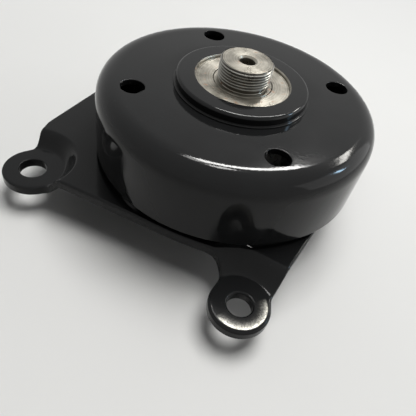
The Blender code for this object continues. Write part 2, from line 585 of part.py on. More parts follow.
def main():
    for thing in list(bpy.data.objects):
        bpy.data.objects.remove(thing, do_unlink=True)
    black = finish("black_coat", (0.018, 0.019, 0.021), 0.32, 0.0)
    bare = finish("bare_steel", (0.56, 0.55, 0.53), 0.34, 1.0)
    bright = finish("bearing_steel", (0.68, 0.68, 0.69), 0.14, 1.0)
    pressed = finish("pressed_steel", (0.50, 0.50, 0.50), 0.38, 1.0)
    rubber = finish("seal_rubber", (0.02, 0.02, 0.02), 0.62, 0.0)
    spin_axis = axis_empty("spin_axis", 0.0)
    front_axis = axis_empty("front_cage_axis", FRONT_BEARING_Z)
    rear_axis = axis_empty("rear_cage_axis", REAR_BEARING_Z)

    make_bracket(black)
    make_carrier(bare)
    make_rear_cap(pressed)
    make_pulley(black, spin_axis)
    make_hub(black, spin_axis)
    make_spindle(bare, spin_axis)
    make_bearing("front", FRONT_BEARING_Z, bright, pressed, rubber, spin_axis, front_axis)
    make_bearing("rear", REAR_BEARING_Z, bright, pressed, rubber, spin_axis, rear_axis)

    bore = BEARING_BORE / 2
    sleeve = LAND_TOP_Z - LAND_BOTTOM_Z
    flat_ring("spacer_sleeve", bore, INNER_LAND_RADIUS, LAND_BOTTOM_Z, sleeve, bare, spin_axis)
    washer_edge = bore + WASHER_WIDTH
    flat_ring("spindle_washer", bore, washer_edge, WASHER_BOTTOM_Z, WASHER_THICKNESS, pressed, spin_axis)
    spindle_seat = JOURNAL_RADIUS - CIRCLIP_SEATING + SEAT_GAP
    make_circlip("spindle_circlip", spindle_seat, 1, REAR_CIRCLIP_BOTTOM_Z, pressed, spin_axis)
    carrier_seat = BEARING_SEAT_RADIUS + CIRCLIP_SEATING - SEAT_GAP
    make_circlip("carrier_circlip", carrier_seat, -1, FRONT_CIRCLIP_TOP_Z - CIRCLIP_THICKNESS, pressed)


main()
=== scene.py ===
"""Looks of a fan-drive pulley on its stamped bracket: fine meshes, finishes, light and camera.

Metres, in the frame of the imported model: +Z runs up the spindle, and the floor is the plane z = 0.
"""

from collections import namedtuple
from math import acos, atan2, ceil, cos, degrees, hypot, pi, radians, sin, tan

import bmesh
import bpy
import numpy as np
from mathutils import Matrix, Vector
from mathutils.geometry import delaunay_2d_cdt


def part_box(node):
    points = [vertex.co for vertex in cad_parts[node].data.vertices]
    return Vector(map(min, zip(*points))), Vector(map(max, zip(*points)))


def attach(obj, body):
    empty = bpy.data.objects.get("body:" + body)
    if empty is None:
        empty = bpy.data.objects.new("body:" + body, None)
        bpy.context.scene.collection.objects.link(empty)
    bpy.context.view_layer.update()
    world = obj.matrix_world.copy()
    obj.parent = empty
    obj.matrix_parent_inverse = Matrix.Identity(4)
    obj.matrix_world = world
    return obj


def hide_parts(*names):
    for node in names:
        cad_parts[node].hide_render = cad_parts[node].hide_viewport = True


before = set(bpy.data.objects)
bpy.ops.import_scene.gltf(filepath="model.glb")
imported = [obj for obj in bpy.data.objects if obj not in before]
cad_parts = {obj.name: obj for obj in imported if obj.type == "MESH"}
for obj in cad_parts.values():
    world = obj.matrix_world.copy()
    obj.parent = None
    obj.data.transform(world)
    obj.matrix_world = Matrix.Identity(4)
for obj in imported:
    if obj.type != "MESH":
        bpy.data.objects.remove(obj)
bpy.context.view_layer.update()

MM = 0.001
MERGE_DISTANCE = 0.000002

# Camera, from the photograph's perspective
CAMERA_PLACE = (0.0749, -0.1964, 0.1882)
CAMERA_TARGET = (0.00575, -0.02188, 0.0)
CAMERA_ROLL = 13.02
CAMERA_LENS = 39.41
SENSOR_WIDTH = 36.0
CAMERA_NEAR = 0.01

# Pulley cup
PULLEY_SHEET = 3.0 * MM
PULLEY_CORNER = 11.5 * MM
PULLEY_CORNER_POWER = 2.5
PULLEY_DRAFT = 0.4 * MM
RIM_ROUND = 0.7 * MM
WEB_DISH_WIDTH = 10.0 * MM
WEB_DISH_DEPTH = 0.3 * MM
SPANNER_HOLES = 4
SPANNER_HOLE_RADIUS = 6.05 * MM
SPANNER_HOLE_INSET = 17.4 * MM
SPANNER_HOLE_START = 45.0
SPANNER_HOLE_LIP = 0.35 * MM

# Hub
HUB_BASE_RADIUS = 35.1 * MM
HUB_BORE = 15.4 * MM
HUB_LEDGE_WIDTH = 0.9 * MM
HUB_BASE_HEIGHT = 0.6 * MM
HUB_LEDGE_ROUND = 0.5 * MM
HUB_TOP_ROUND = 1.6 * MM
HUB_SWAGE_ROUND = 0.9 * MM
HUB_RECESS_RADIUS = 24.3 * MM
HUB_RECESS_DEPTH = 1.6 * MM
HUB_RECESS_CHAMFER = 0.6 * MM
HUB_SPIGOT_RADIUS = 28.0 * MM
HUB_SWAGE_WIDTH = 1.8 * MM
SEAT_GAP = 0.3 * MM
CONTACT_GAP = 0.02 * MM
EDGE_ROUND = 0.2 * MM

# Spindle
THREAD_RADIUS = 13.5 * MM
THREAD_PITCH = 1.5 * MM
THREAD_DEPTH = 0.92 * MM
THREAD_CHAMFER = 0.65 * MM
THREAD_CREST = 0.14
THREAD_ROOT = 0.2
RELIEF_DEPTH = 1.1 * MM
RELIEF_WIDTH = 1.5 * MM
SHOULDER_STEP = 1.6 * MM
SPINDLE_FLANGE_STEP = 2.9 * MM
JOURNAL_RADIUS = 12.2 * MM
CENTRE_HOLE_RADIUS = 4.0 * MM
CENTRE_HOLE_DEPTH = 13.0 * MM
COUNTERSINK = 0.9 * MM
DRILL_POINT_DEPTH = 2.4 * MM
CIRCLIP_SEATING = 1.3 * MM

# Bracket
PLATE_THICKNESS = 5.0 * MM
EAR_DROP = 8.4 * MM
LEFT_SIDE_X = -90.2 * MM
RIGHT_SIDE_X = 64.7 * MM
SIDE_FLARE = 4.2 * MM
NEAR_EAR_Y = -73.7 * MM
FAR_EAR_Y = 72.0 * MM
EAR_RADIUS = 15.3 * MM
EAR_OVERHANG = 0.7 * MM
EAR_HOLE_RADIUS = 7.0 * MM
EAR_PAD_RADIUS = 15.4 * MM
EAR_RAMP = 8.2 * MM
EAR_SIDE_RUN = 27.0 * MM
EAR_SIDE_ROUND = 12.0 * MM
EAR_NOTCH_RUN = 7.0 * MM
EAR_NOTCH_ROUND = 7.0 * MM
EAR_EDGE_RUN = 3.4 * MM
EAR_EDGE_ROUND = 5.0 * MM
EAR_TANGENTS = (153.0, 210.0, 270.0, 325.0)
TAB_Y = -80.3 * MM
TAB_RADIUS = 14.5 * MM
TAB_OVERHANG = 3.9 * MM
TAB_HOLE_RADIUS = 6.0 * MM
TAB_PAD_RADIUS = 14.5 * MM
TAB_RAMP = 11.2 * MM
TAB_CORNER_RAMP = 15.5 * MM
TAB_ROOT_Y = -65.4 * MM
TAB_ROOT_ROUND = 8.0 * MM
TAB_SHOULDER_TURN = 25.0
TAB_SHOULDER_ROUND = 8.0 * MM
NEAR_EDGE_X = 12.0 * MM
NEAR_EDGE_Y = -71.0 * MM
NEAR_EDGE_SWEEP = 40.0 * MM
CARRIER_HOLE_RADIUS = 31.3 * MM
ROLL_WIDTH = 1.4 * MM
ROLL_DROP = 1.0 * MM
TAB_ROLL_WIDTH = 1.7 * MM
TAB_ROLL_DROP = 1.4 * MM
HOLE_LIP = 0.5 * MM
TAB_HOLE_LIP = 1.0 * MM
SHEET_BURR = 0.4 * MM
LEFT_EAR_X = LEFT_SIDE_X + EAR_RADIUS - EAR_OVERHANG
FAR_LEFT_EAR_X = LEFT_EAR_X - SIDE_FLARE
FAR_RIGHT_EAR_X = RIGHT_SIDE_X + SIDE_FLARE - EAR_RADIUS + EAR_OVERHANG
TAB_X = RIGHT_SIDE_X - TAB_RADIUS + TAB_OVERHANG

# Ears: the hole's place, radius and lip, the pad's radius, and how near and far its upper bend lies
Ear = namedtuple("Ear", "x y hole lip pad straight limit")
EAR_BEND = EAR_PAD_RADIUS + EAR_RAMP
EAR_FORM = (EAR_HOLE_RADIUS, HOLE_LIP, EAR_PAD_RADIUS, EAR_BEND, EAR_BEND)
TAB_BENDS = (TAB_PAD_RADIUS + TAB_RAMP, TAB_PAD_RADIUS + TAB_CORNER_RAMP)
EARS = (
    Ear(LEFT_EAR_X, NEAR_EAR_Y, *EAR_FORM),
    Ear(FAR_LEFT_EAR_X, FAR_EAR_Y, *EAR_FORM),
    Ear(FAR_RIGHT_EAR_X, FAR_EAR_Y, *EAR_FORM),
    Ear(TAB_X, TAB_Y, TAB_HOLE_RADIUS, TAB_HOLE_LIP, TAB_PAD_RADIUS, *TAB_BENDS),
)

# Bearing carrier and the cap that closes it
BEARING_SEAT_RADIUS = 26.3 * MM
CARRIER_RADIUS = 31.0 * MM
CARRIER_FLANGE_RADIUS = 40.0 * MM
CARRIER_FLANGE_THICKNESS = 4.5 * MM
CARRIER_LAND_RADIUS = 22.5 * MM
CARRIER_FILLET = 2.0 * MM
CARRIER_CHAMFER = 1.0 * MM
CARRIER_SWAGE_WIDTH = 2.2 * MM
CARRIER_SWAGE_HEIGHT = 2.6 * MM
CARRIER_SWAGE_ROUND = 0.8 * MM
CAP_FACE = 2.5 * MM
CAP_WALL = 2.5 * MM
CAP_ROUND = 1.4 * MM
CAP_GROOVE = (12.0 * MM, 20.0 * MM)
CAP_GROOVE_SLOPE = 1.2 * MM
CAP_GROOVE_DEPTH = 0.8 * MM

# Ball bearings, sleeve and washer
BEARING_BORE = 12.5 * MM
BEARING_OUTSIDE = 26.0 * MM
PITCH_RADIUS = 19.25 * MM
INNER_LAND_RADIUS = 16.3 * MM
OUTER_LAND_RADIUS = 22.2 * MM
RACE_RADIUS = 4.27 * MM
BALL_RADIUS = 3.97 * MM
BALL_COUNT = 9
RING_ROUND = 0.8 * MM
LAND_ROUND = 0.3 * MM
SEAL_LIP_GAP = 0.5 * MM
SEAL_BEAD = 1.0 * MM
SEAL_SLOPE = 0.4 * MM
SEAL_DISH = 0.35 * MM
CAGE_SHEET = 1.6 * MM
WASHER_RADIUS = 17.0 * MM

# Spring rings
CIRCLIP_WIDTH = 3.6 * MM
CIRCLIP_LUG = 2.4 * MM
CIRCLIP_MOUTH = 26.0
CIRCLIP_LUG_SPAN = 14.0
CIRCLIP_LUG_ROUND = 0.7 * MM
CIRCLIP_HOLE_RADIUS = 0.9 * MM

# Finishes: colours, noise cells to a metre, and the spans of noise that are mapped
NOISE_SPAN = (0.3, 0.7)
COAT_TINTS = ((0.009, 0.0093, 0.0097), (0.013, 0.0133, 0.0138))
HAZE_CELLS = 55.0
PEEL_CELLS = 700.0
PEEL_DEPTH = 0.3 * MM
DUST_TINT = (0.13, 0.13, 0.125)
DUST_CELLS = 2300.0
DUST_SPAN = (0.76, 0.84)
DUST_MOST = 0.4
DUST_ROUGHNESS = 0.4
STEEL_SPAN = (0.40, 0.60)
STEEL_ROUGHNESS = (0.24, 0.38)
STEEL_ANISOTROPY = 0.45
STEEL_TONE_CELLS = 130.0
RING_CELLS = 2600.0
RING_BUMP = 0.25
SHEET_BUMP = 0.1
RUBBER_BUMP = 0.15
GRAIN_DEPTH = 0.1 * MM
RUST_TINT = (0.20, 0.095, 0.045)
RUST_CELLS = 330.0
RUST_SPREAD = 0.1
RUST_MOST = 0.8
RUST_ROUGHNESS = 0.4
RUST_METALLIC = 0.1
# Darker in the thread's grooves and relief: partly grime, partly painted shade.
GROOVE_GRIME_AND_SHADE_TINT = (0.045, 0.036, 0.026)
GROOVE_GRIME_AND_SHADE_MOST = 0.9
SHEET_TONE_CELLS = 160.0
RUBBER_TINTS = ((0.012, 0.012, 0.012), (0.028, 0.028, 0.027))
RUBBER_TONE_CELLS = 200.0
RUBBER_GRAIN_CELLS = 1500.0
RUBBER_ROUGHNESS = (0.55, 0.7)
PAPER_TINTS = ((0.79, 0.79, 0.78), (0.82, 0.82, 0.81))
PAPER_CELLS = 12.0
PAPER_ROUGHNESS = (0.6, 0.75)
PAPER_SHINE = 0.1

# Tab seat, worn bare by rubbing, with a painted highlight: a pale metallic crescent towards the rim on one
# side only
RUB_HIGHLIGHT_TINT = (0.80, 0.78, 0.70)
HIGHLIGHT_SIDE = -34.0
HIGHLIGHT_SPREAD = (0.1, 0.5)
RUB_HIGHLIGHT_BAND = (6.0 * MM, 12.4 * MM)
RUB_HIGHLIGHT_POWER = 3.6
RUB_HIGHLIGHT_RIM = 12.9 * MM
RUB_GRAIN_CELLS = 1300.0
RUB_GRAIN_SPAN = (0.35, 0.65)
RUB_GRAIN_LEAST = 0.35
RUB_ONSET = 0.1
RUB_ROUGHNESS = (0.1, 0.34)

# Light and background
LAMP_DISTANCE = 1.3
ROOM_LIGHT = 0.05
FLOOR_REACH = 3.0
FLOOR_FADE = (0.2, 0.6)
BACKGROUND = (0.82, 0.82, 0.81, 1.0)

# Lamps: azimuth and elevation of both ends in degrees, width, radiance, colour, and what they leave out
WINDOW_TINT = (1.0, 0.99, 0.97)
WHITE = (1.0, 1.0, 1.0)
ONLY_MIRRORED = {"lights": False}
ONLY_LIGHTS = {"mirrored": False}
LAMPS = (
    ("window_strip", (94.5, 42.4), (125.5, 64.0), 0.11, 55.0, WINDOW_TINT, ONLY_MIRRORED),
    ("window_end", (125.5, 64.0), (143.0, 71.0), 0.11, 14.0, WINDOW_TINT, ONLY_MIRRORED),
    ("high_window", (104.0, 66.0), (124.0, 75.0), 0.10, 34.0, WINDOW_TINT, ONLY_MIRRORED),
    ("right_window", (58.0, 41.5), (83.0, 38.5), 0.08, 27.0, (1.0, 0.98, 0.93), ONLY_MIRRORED),
    ("far_softbox", (107.0, 8.0), (107.0, 62.0), 1.0, 0.45, (0.95, 1.0, 1.0), ONLY_LIGHTS),
    ("ceiling_softbox", (107.0, 62.0), (107.0, 80.0), 1.0, 0.30, WHITE, ONLY_LIGHTS),
    ("left_softbox", (160.0, 2.0), (160.0, 42.0), 1.2, 0.22, WHITE, ONLY_LIGHTS),
    ("left_window", (172.0, 2.0), (172.0, 52.0), 0.9, 0.30, WHITE, ONLY_LIGHTS),
    ("right_softbox", (28.0, 2.0), (28.0, 40.0), 1.6, 0.90, WHITE, {}),
    ("near_softbox", (-32.0, 2.0), (-32.0, 26.0), 0.8, 0.22, WHITE, ONLY_LIGHTS),
    ("blue_window", (33.0, 27.5), (33.0, 35.5), 0.12, 39.0, (0.5, 0.76, 1.0), ONLY_MIRRORED),
    ("top_softbox", (64.0, 62.0), (64.0, 94.0), 0.7, 8.6, (1.0, 0.995, 0.98), ONLY_LIGHTS),
)

# Fineness
PULLEY_STEPS = 192
HUB_STEPS = 160
SPINDLE_STEPS = 128
CARRIER_STEPS = 128
RING_STEPS = 96
SMALL_HOLE_STEPS = 24
RACE_STEPS = 16
CAGE_SPAN_STEPS = 12
HOLE_STEPS = 56
ARC_STEP = 6.0
OUTLINE_STEP = 1.5 * MM
RAMP_RINGS = 15
RAMP_SPOKES = 96
THREAD_ROWS = 16
PULLEY_CORNER_STEPS = 28
WEB_DISH_STEPS = 12
LIP_STEPS = 4
ROLL_STEPS = 8
BURR_STEPS = 4
TURNED_ARC_STEP = 15.0
BALL_FINENESS = 4


def node(tree, kind, inputs=(), **settings):
    """A new shader node. Inputs are values, or sockets to link from."""
    made = tree.nodes.new("ShaderNode" + kind)
    for key, value in settings.items():
        setattr(made, key, value)
    for key, value in dict(inputs).items():
        if isinstance(value, bpy.types.NodeSocket):
            tree.links.new(value, made.inputs[key])
        else:
            made.inputs[key].default_value = value
    return made


def new_material(name, metallic, **uniform):
    """A material with its node tree and shader, and values that are the same all over it."""
    material = bpy.data.materials.new(name)
    material.use_nodes = True
    tree = material.node_tree
    shader = tree.nodes["Principled BSDF"]
    shader.inputs["Metallic"].default_value = metallic
    for key, value in uniform.items():
        shader.inputs[key.replace("_", " ")].default_value = value
    return material, tree, shader


def noise(tree, vector, scale, detail=2.0):
    """Noise at so many cells a metre."""
    inputs = {"Vector": vector, "Scale": scale, "Detail": detail}
    return node(tree, "TexNoise", inputs).outputs[0]


def remap(tree, value, low, high, to_low, to_high):
    """A value's range mapped to another, clamped."""
    inputs = {0: value, 1: low, 2: high, 3: to_low, 4: to_high}
    return node(tree, "MapRange", inputs).outputs[0]


def mix(tree, share, first, second):
    """Two colours mixed by a share. Each is a red, green and blue value, or a socket."""
    first, second = [(*end, 1.0) if isinstance(end, tuple) else end for end in (first, second)]
    made = node(tree, "Mix", {0: share, 6: first, 7: second}, data_type="RGBA")
    return made.outputs[2]


def maths(tree, operation, first, second):
    """One sum on two numbers."""
    return node(tree, "Math", {0: first, 1: second}, operation=operation).outputs[0]


def surface(tree, shader, base, rough, height, strength, depth):
    """Link a finish's colour and roughness, and its bump from a height."""
    bump = node(tree, "Bump", {"Height": height, "Strength": strength, "Distance": depth})
    tree.links.new(base, shader.inputs["Base Color"])
    tree.links.new(rough, shader.inputs["Roughness"])
    tree.links.new(bump.outputs[0], shader.inputs["Normal"])


def rubbed_highlight_share(tree, place):
    """How far the tab's seat is worn bare, with a painted highlight: grainy, and more so towards the rim on
    its outer side, where the pale crescent is painted highlight.
    """
    away = node(tree, "VectorMath", {0: place, 1: (TAB_X, TAB_Y, 0.0)}, operation="SUBTRACT").outputs[0]
    flat = node(tree, "VectorMath", {0: away, 1: (1.0, 1.0, 0.0)}, operation="MULTIPLY").outputs[0]
    radius = node(tree, "VectorMath", {0: flat}, operation="LENGTH").outputs["Value"]
    # Painted highlight: only the side of the pad turned to this angle gets the pale crescent.
    side = (cos(radians(HIGHLIGHT_SIDE)), sin(radians(HIGHLIGHT_SIDE)), 0.0)
    out = node(tree, "VectorMath", {0: flat, 1: side}, operation="DOT_PRODUCT").outputs["Value"]
    turned = remap(tree, maths(tree, "DIVIDE", out, radius), *HIGHLIGHT_SPREAD, 0.0, 1.0)
    band = maths(tree, "POWER", remap(tree, radius, *RUB_HIGHLIGHT_BAND, 0.0, 1.0), RUB_HIGHLIGHT_POWER)
    rim = remap(tree, radius, RUB_HIGHLIGHT_BAND[1], RUB_HIGHLIGHT_RIM, 1.0, 0.0)
    specks = noise(tree, place, RUB_GRAIN_CELLS, 3.0)
    grain = remap(tree, specks, *RUB_GRAIN_SPAN, RUB_GRAIN_LEAST, 1.0)
    crescent = maths(tree, "MULTIPLY", turned, band)
    return maths(tree, "MULTIPLY", crescent, maths(tree, "MULTIPLY", rim, grain))


def black_coat(name, shine, low, high, peel, rub_highlight=False):
    """Semi-gloss black dip coat: faint orange peel, hazy patches and settled dust."""
    material, tree, shader = new_material(name, 0.0, Specular_IOR_Level=shine)
    place = node(tree, "TexCoord").outputs["Object"]
    haze = noise(tree, place, HAZE_CELLS, 4.0)
    dust = remap(tree, noise(tree, place, DUST_CELLS, 1.0), *DUST_SPAN, 0.0, DUST_MOST)
    base = mix(tree, dust, mix(tree, haze, *COAT_TINTS), DUST_TINT)
    gloss = remap(tree, haze, *NOISE_SPAN, low, high)
    rough = maths(tree, "ADD", gloss, maths(tree, "MULTIPLY", dust, DUST_ROUGHNESS))
    # Worn seat with a painted highlight: a pale metallic crescent on one side of the tab's pad.
    if rub_highlight:
        share = rubbed_highlight_share(tree, place)
        base = mix(tree, share, base, RUB_HIGHLIGHT_TINT)
        rough = maths(tree, "MAXIMUM", rough, remap(tree, share, 0.0, RUB_ONSET, *RUB_ROUGHNESS))
        tree.links.new(share, shader.inputs["Metallic"])
    surface(tree, shader, base, rough, noise(tree, place, PEEL_CELLS), peel, PEEL_DEPTH)
    return material


def turned_steel(name, light, dark, rust_from, metallic, groove=()):
    """Bare lathe-turned steel: fine rings, uneven tone and specks of rust.

    A groove is the radii of a thread's root and crest, between which the darkening fades: partly grime,
    partly painted shade, fullest at the root and in the relief below the thread.
    """
    material, tree, shader = new_material(name, 1.0, Anisotropic=STEEL_ANISOTROPY, Anisotropic_Rotation=0.25)
    place = node(tree, "TexCoord").outputs["Object"]
    split = node(tree, "SeparateXYZ", {0: place})
    flat = node(tree, "CombineXYZ", {0: split.outputs[0], 1: split.outputs[1]}).outputs[0]
    radius = node(tree, "VectorMath", {0: flat}, operation="LENGTH").outputs["Value"]
    travel = maths(tree, "ADD", radius, split.outputs[2])
    inputs = {"W": travel, "Scale": RING_CELLS, "Detail": 3.0}
    rings = node(tree, "TexNoise", inputs, noise_dimensions="1D").outputs[0]
    tone = noise(tree, place, STEEL_TONE_CELLS, 4.0)
    specks = noise(tree, place, RUST_CELLS, 3.0)
    rust = remap(tree, specks, rust_from, rust_from + RUST_SPREAD, 0.0, RUST_MOST)
    share = maths(tree, "MULTIPLY", maths(tree, "ADD", rings, tone), 0.5)
    steel = mix(tree, remap(tree, share, *STEEL_SPAN, 0.0, 1.0), dark, light)
    # Darker towards the thread's root: partly grime, partly painted shade.
    if groove:
        steel = mix(tree, remap(tree, radius, *groove, GROOVE_GRIME_AND_SHADE_MOST, 0.0), steel, GROOVE_GRIME_AND_SHADE_TINT)
    gloss = remap(tree, tone, *NOISE_SPAN, *STEEL_ROUGHNESS)
    rough = maths(tree, "ADD", gloss, maths(tree, "MULTIPLY", rust, RUST_ROUGHNESS))
    surface(tree, shader, mix(tree, rust, steel, RUST_TINT), rough, rings, RING_BUMP, GRAIN_DEPTH)
    tree.links.new(remap(tree, rust, 0.0, 1.0, metallic, RUST_METALLIC), shader.inputs["Metallic"])
    around = node(tree, "Tangent", direction_type="RADIAL", axis="Z")
    tree.links.new(around.outputs[0], shader.inputs["Tangent"])
    return material


def plain_steel(name, light, dark, low, high, grain):
    """Sheet or ground steel with a fine grain and an uneven sheen."""
    material, tree, shader = new_material(name, 1.0)
    place = node(tree, "TexCoord").outputs["Object"]
    tone = noise(tree, place, SHEET_TONE_CELLS, 4.0)
    rough = remap(tree, tone, *NOISE_SPAN, low, high)
    height = noise(tree, place, grain)
    surface(tree, shader, mix(tree, tone, dark, light), rough, height, SHEET_BUMP, GRAIN_DEPTH)
    return material


def seal_rubber():
    """Matt black moulded rubber."""
    material, tree, shader = new_material("seal_rubber_fine", 0.0)
    place = node(tree, "TexCoord").outputs["Object"]
    grain = noise(tree, place, RUBBER_GRAIN_CELLS)
    base = mix(tree, noise(tree, place, RUBBER_TONE_CELLS), *RUBBER_TINTS)
    rough = remap(tree, grain, *NOISE_SPAN, *RUBBER_ROUGHNESS)
    surface(tree, shader, base, rough, grain, RUBBER_BUMP, GRAIN_DEPTH)
    return material


def backdrop_rays(tree):
    """1 for rays that show the background: seen directly, mirrored or through something clear."""
    path = node(tree, "LightPath")
    shown = maths(tree, "MAXIMUM", path.outputs["Is Camera Ray"], path.outputs["Is Glossy Ray"])
    return maths(tree, "MAXIMUM", shown, path.outputs["Is Transmission Ray"])


def floor_paint():
    """Pale matt paper under the part: plain background far away, and clear from below."""
    material, tree, shader = new_material("floor_paint", 0.0, Specular_IOR_Level=PAPER_SHINE)
    place = node(tree, "TexCoord").outputs["Object"]
    tone = noise(tree, place, PAPER_CELLS, 3.0)
    tree.links.new(mix(tree, tone, *PAPER_TINTS), shader.inputs["Base Color"])
    tree.links.new(remap(tree, tone, *NOISE_SPAN, *PAPER_ROUGHNESS), shader.inputs["Roughness"])
    away = node(tree, "VectorMath", {0: place}, operation="LENGTH").outputs["Value"]
    share = maths(tree, "MULTIPLY", backdrop_rays(tree), remap(tree, away, *FLOOR_FADE, 0.0, 1.0))
    plain = node(tree, "Emission", {"Color": BACKGROUND})
    faded = node(tree, "MixShader", {0: share, 1: shader.outputs[0], 2: plain.outputs[0]})
    under = node(tree, "NewGeometry").outputs["Backfacing"]
    clear = node(tree, "BsdfTransparent")
    one_sided = node(tree, "MixShader", {0: under, 1: faded.outputs[0], 2: clear.outputs[0]})
    tree.links.new(one_sided.outputs[0], tree.nodes["Material Output"].inputs["Surface"])
    return material


def arc(centre, radius, start, end, steps):
    """Points on an arc, with both ends. Angles are in degrees."""
    angles = [radians(start + (end - start) * i / steps) for i in range(steps + 1)]
    return [(centre[0] + radius * cos(a), centre[1] + radius * sin(a)) for a in angles]


def quarter(steps):
    """Angles through a quarter turn, with both ends."""
    return [i * pi / 2 / steps for i in range(steps + 1)]


def rounded(corners, step=ARC_STEP):
    """A closed outline through corners (x, y, radius): points, each with its outward direction.

    The corners run anticlockwise. A corner with no radius stays sharp.
    """
    outline = []
    for i, (x, y, radius) in enumerate(corners):
        corner = Vector((x, y))
        back = (Vector(corners[i - 1][:2]) - corner).normalized()
        ahead = (Vector(corners[(i + 1) % len(corners)][:2]) - corner).normalized()
        if radius == 0:
            outline.append((corner, (-back - ahead).normalized()))
            continue
        half = back.angle(ahead) / 2
        centre = corner + (back + ahead).normalized() * radius / sin(half)
        first = corner + back * radius / tan(half) - centre
        last = corner + ahead * radius / tan(half) - centre
        start = degrees(atan2(first.y, first.x))
        turn = degrees(atan2(first.cross(last), first.dot(last)))
        steps = max(2, ceil(abs(turn) / step))
        for point in arc(centre, radius, start, start + turn, steps):
            out = (Vector(point) - centre).normalized()
            outline.append((Vector(point), out if turn > 0 else -out))
    return outline


def lathe(mesh, profile, steps, slot=0, centre=(0.0, 0.0), closed=False):
    """Faces swept by a profile of (radius, height) points once round an upright axis."""
    rings = []
    for radius, height in profile:
        count = steps if radius > 0 else 1
        spots = [(radius, 2 * pi * i / count) for i in range(count)]
        ring = [(centre[0] + r * cos(a), centre[1] + r * sin(a), height) for r, a in spots]
        rings.append([mesh.verts.new(spot) for spot in ring])
    pairs = list(zip(rings, rings[1:]))
    if closed:
        pairs.append((rings[-1], rings[0]))
    for here, there in pairs:
        for i in range(steps):
            j = (i + 1) % steps
            corners = [here[i % len(here)], here[j % len(here)], there[j % len(there)], there[i % len(there)]]
            face = mesh.faces.new(list(dict.fromkeys(corners)))
            face.material_index = slot


def piece(name, mesh, materials, body, slot, *nodes, sharp=50.0):
    """Close a mesh into an object that rides on a body and stands for its nodes."""
    bmesh.ops.remove_doubles(mesh, verts=mesh.verts, dist=MERGE_DISTANCE)
    bmesh.ops.recalc_face_normals(mesh, faces=mesh.faces)
    data = bpy.data.meshes.new(name)
    mesh.to_mesh(data)
    mesh.free()
    data.shade_smooth()
    data.set_sharp_from_angle(angle=radians(sharp))
    for material in materials:
        data.materials.append(material)
    made = bpy.data.objects.new(name, data)
    bpy.context.scene.collection.objects.link(made)
    weighted = made.modifiers.new("even_shading", "WEIGHTED_NORMAL")
    weighted.keep_sharp = True
    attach(made, body)
    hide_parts(*nodes)


def triangulated(loops, loose):
    """Triangles between the first loop and the others, which are holes, through loose points."""
    points = []
    edges = []
    for loop in loops:
        first = len(points)
        points += [Vector(point) for point in loop]
        edges += [(first + i, first + (i + 1) % len(loop)) for i in range(len(loop))]
    points += [Vector(point) for point in loose]
    plan = delaunay_2d_cdt(points, edges, [], 0, MERGE_DISTANCE)
    spots = np.array([tuple(point) for point in plan[0]])
    middles = np.array([spots[face].mean(axis=0) for face in plan[2]])
    keep = inside(middles, loops[0])
    for loop in loops[1:]:
        keep &= ~inside(middles, loop)
    return plan[0], [face for face, kept in zip(plan[2], keep) if kept]


def inside(points, loop):
    """Which points lie inside a loop, by counting crossings."""
    points = np.asarray(points)
    x, y = points[:, 0], points[:, 1]
    found = np.zeros(len(points), bool)
    for (x1, y1), (x2, y2) in zip(loop, loop[1:] + loop[:1]):
        if y1 != y2:
            across = (y1 > y) != (y2 > y)
            found ^= across & (x < x1 + (x2 - x1) * (y - y1) / (y2 - y1))
    return found


def ring_points(centre, radius, steps):
    """Points once round a circle."""
    return arc(centre, radius, 0.0, 360.0, steps)[:-1]


def eased(share):
    """An S-curve from 0 to 1."""
    share = min(max(share, 0.0), 1.0)
    return share * share * (3 - 2 * share)


def lip_profile(radius, top, bottom, lip):
    """A hole's wall with both rims rounded over, from its top face to its underside."""
    upper = arc((radius + lip, top - lip), lip, 90, 180, LIP_STEPS)
    lower = arc((radius + lip, bottom + lip), lip, 180, 270, LIP_STEPS)
    return upper + lower


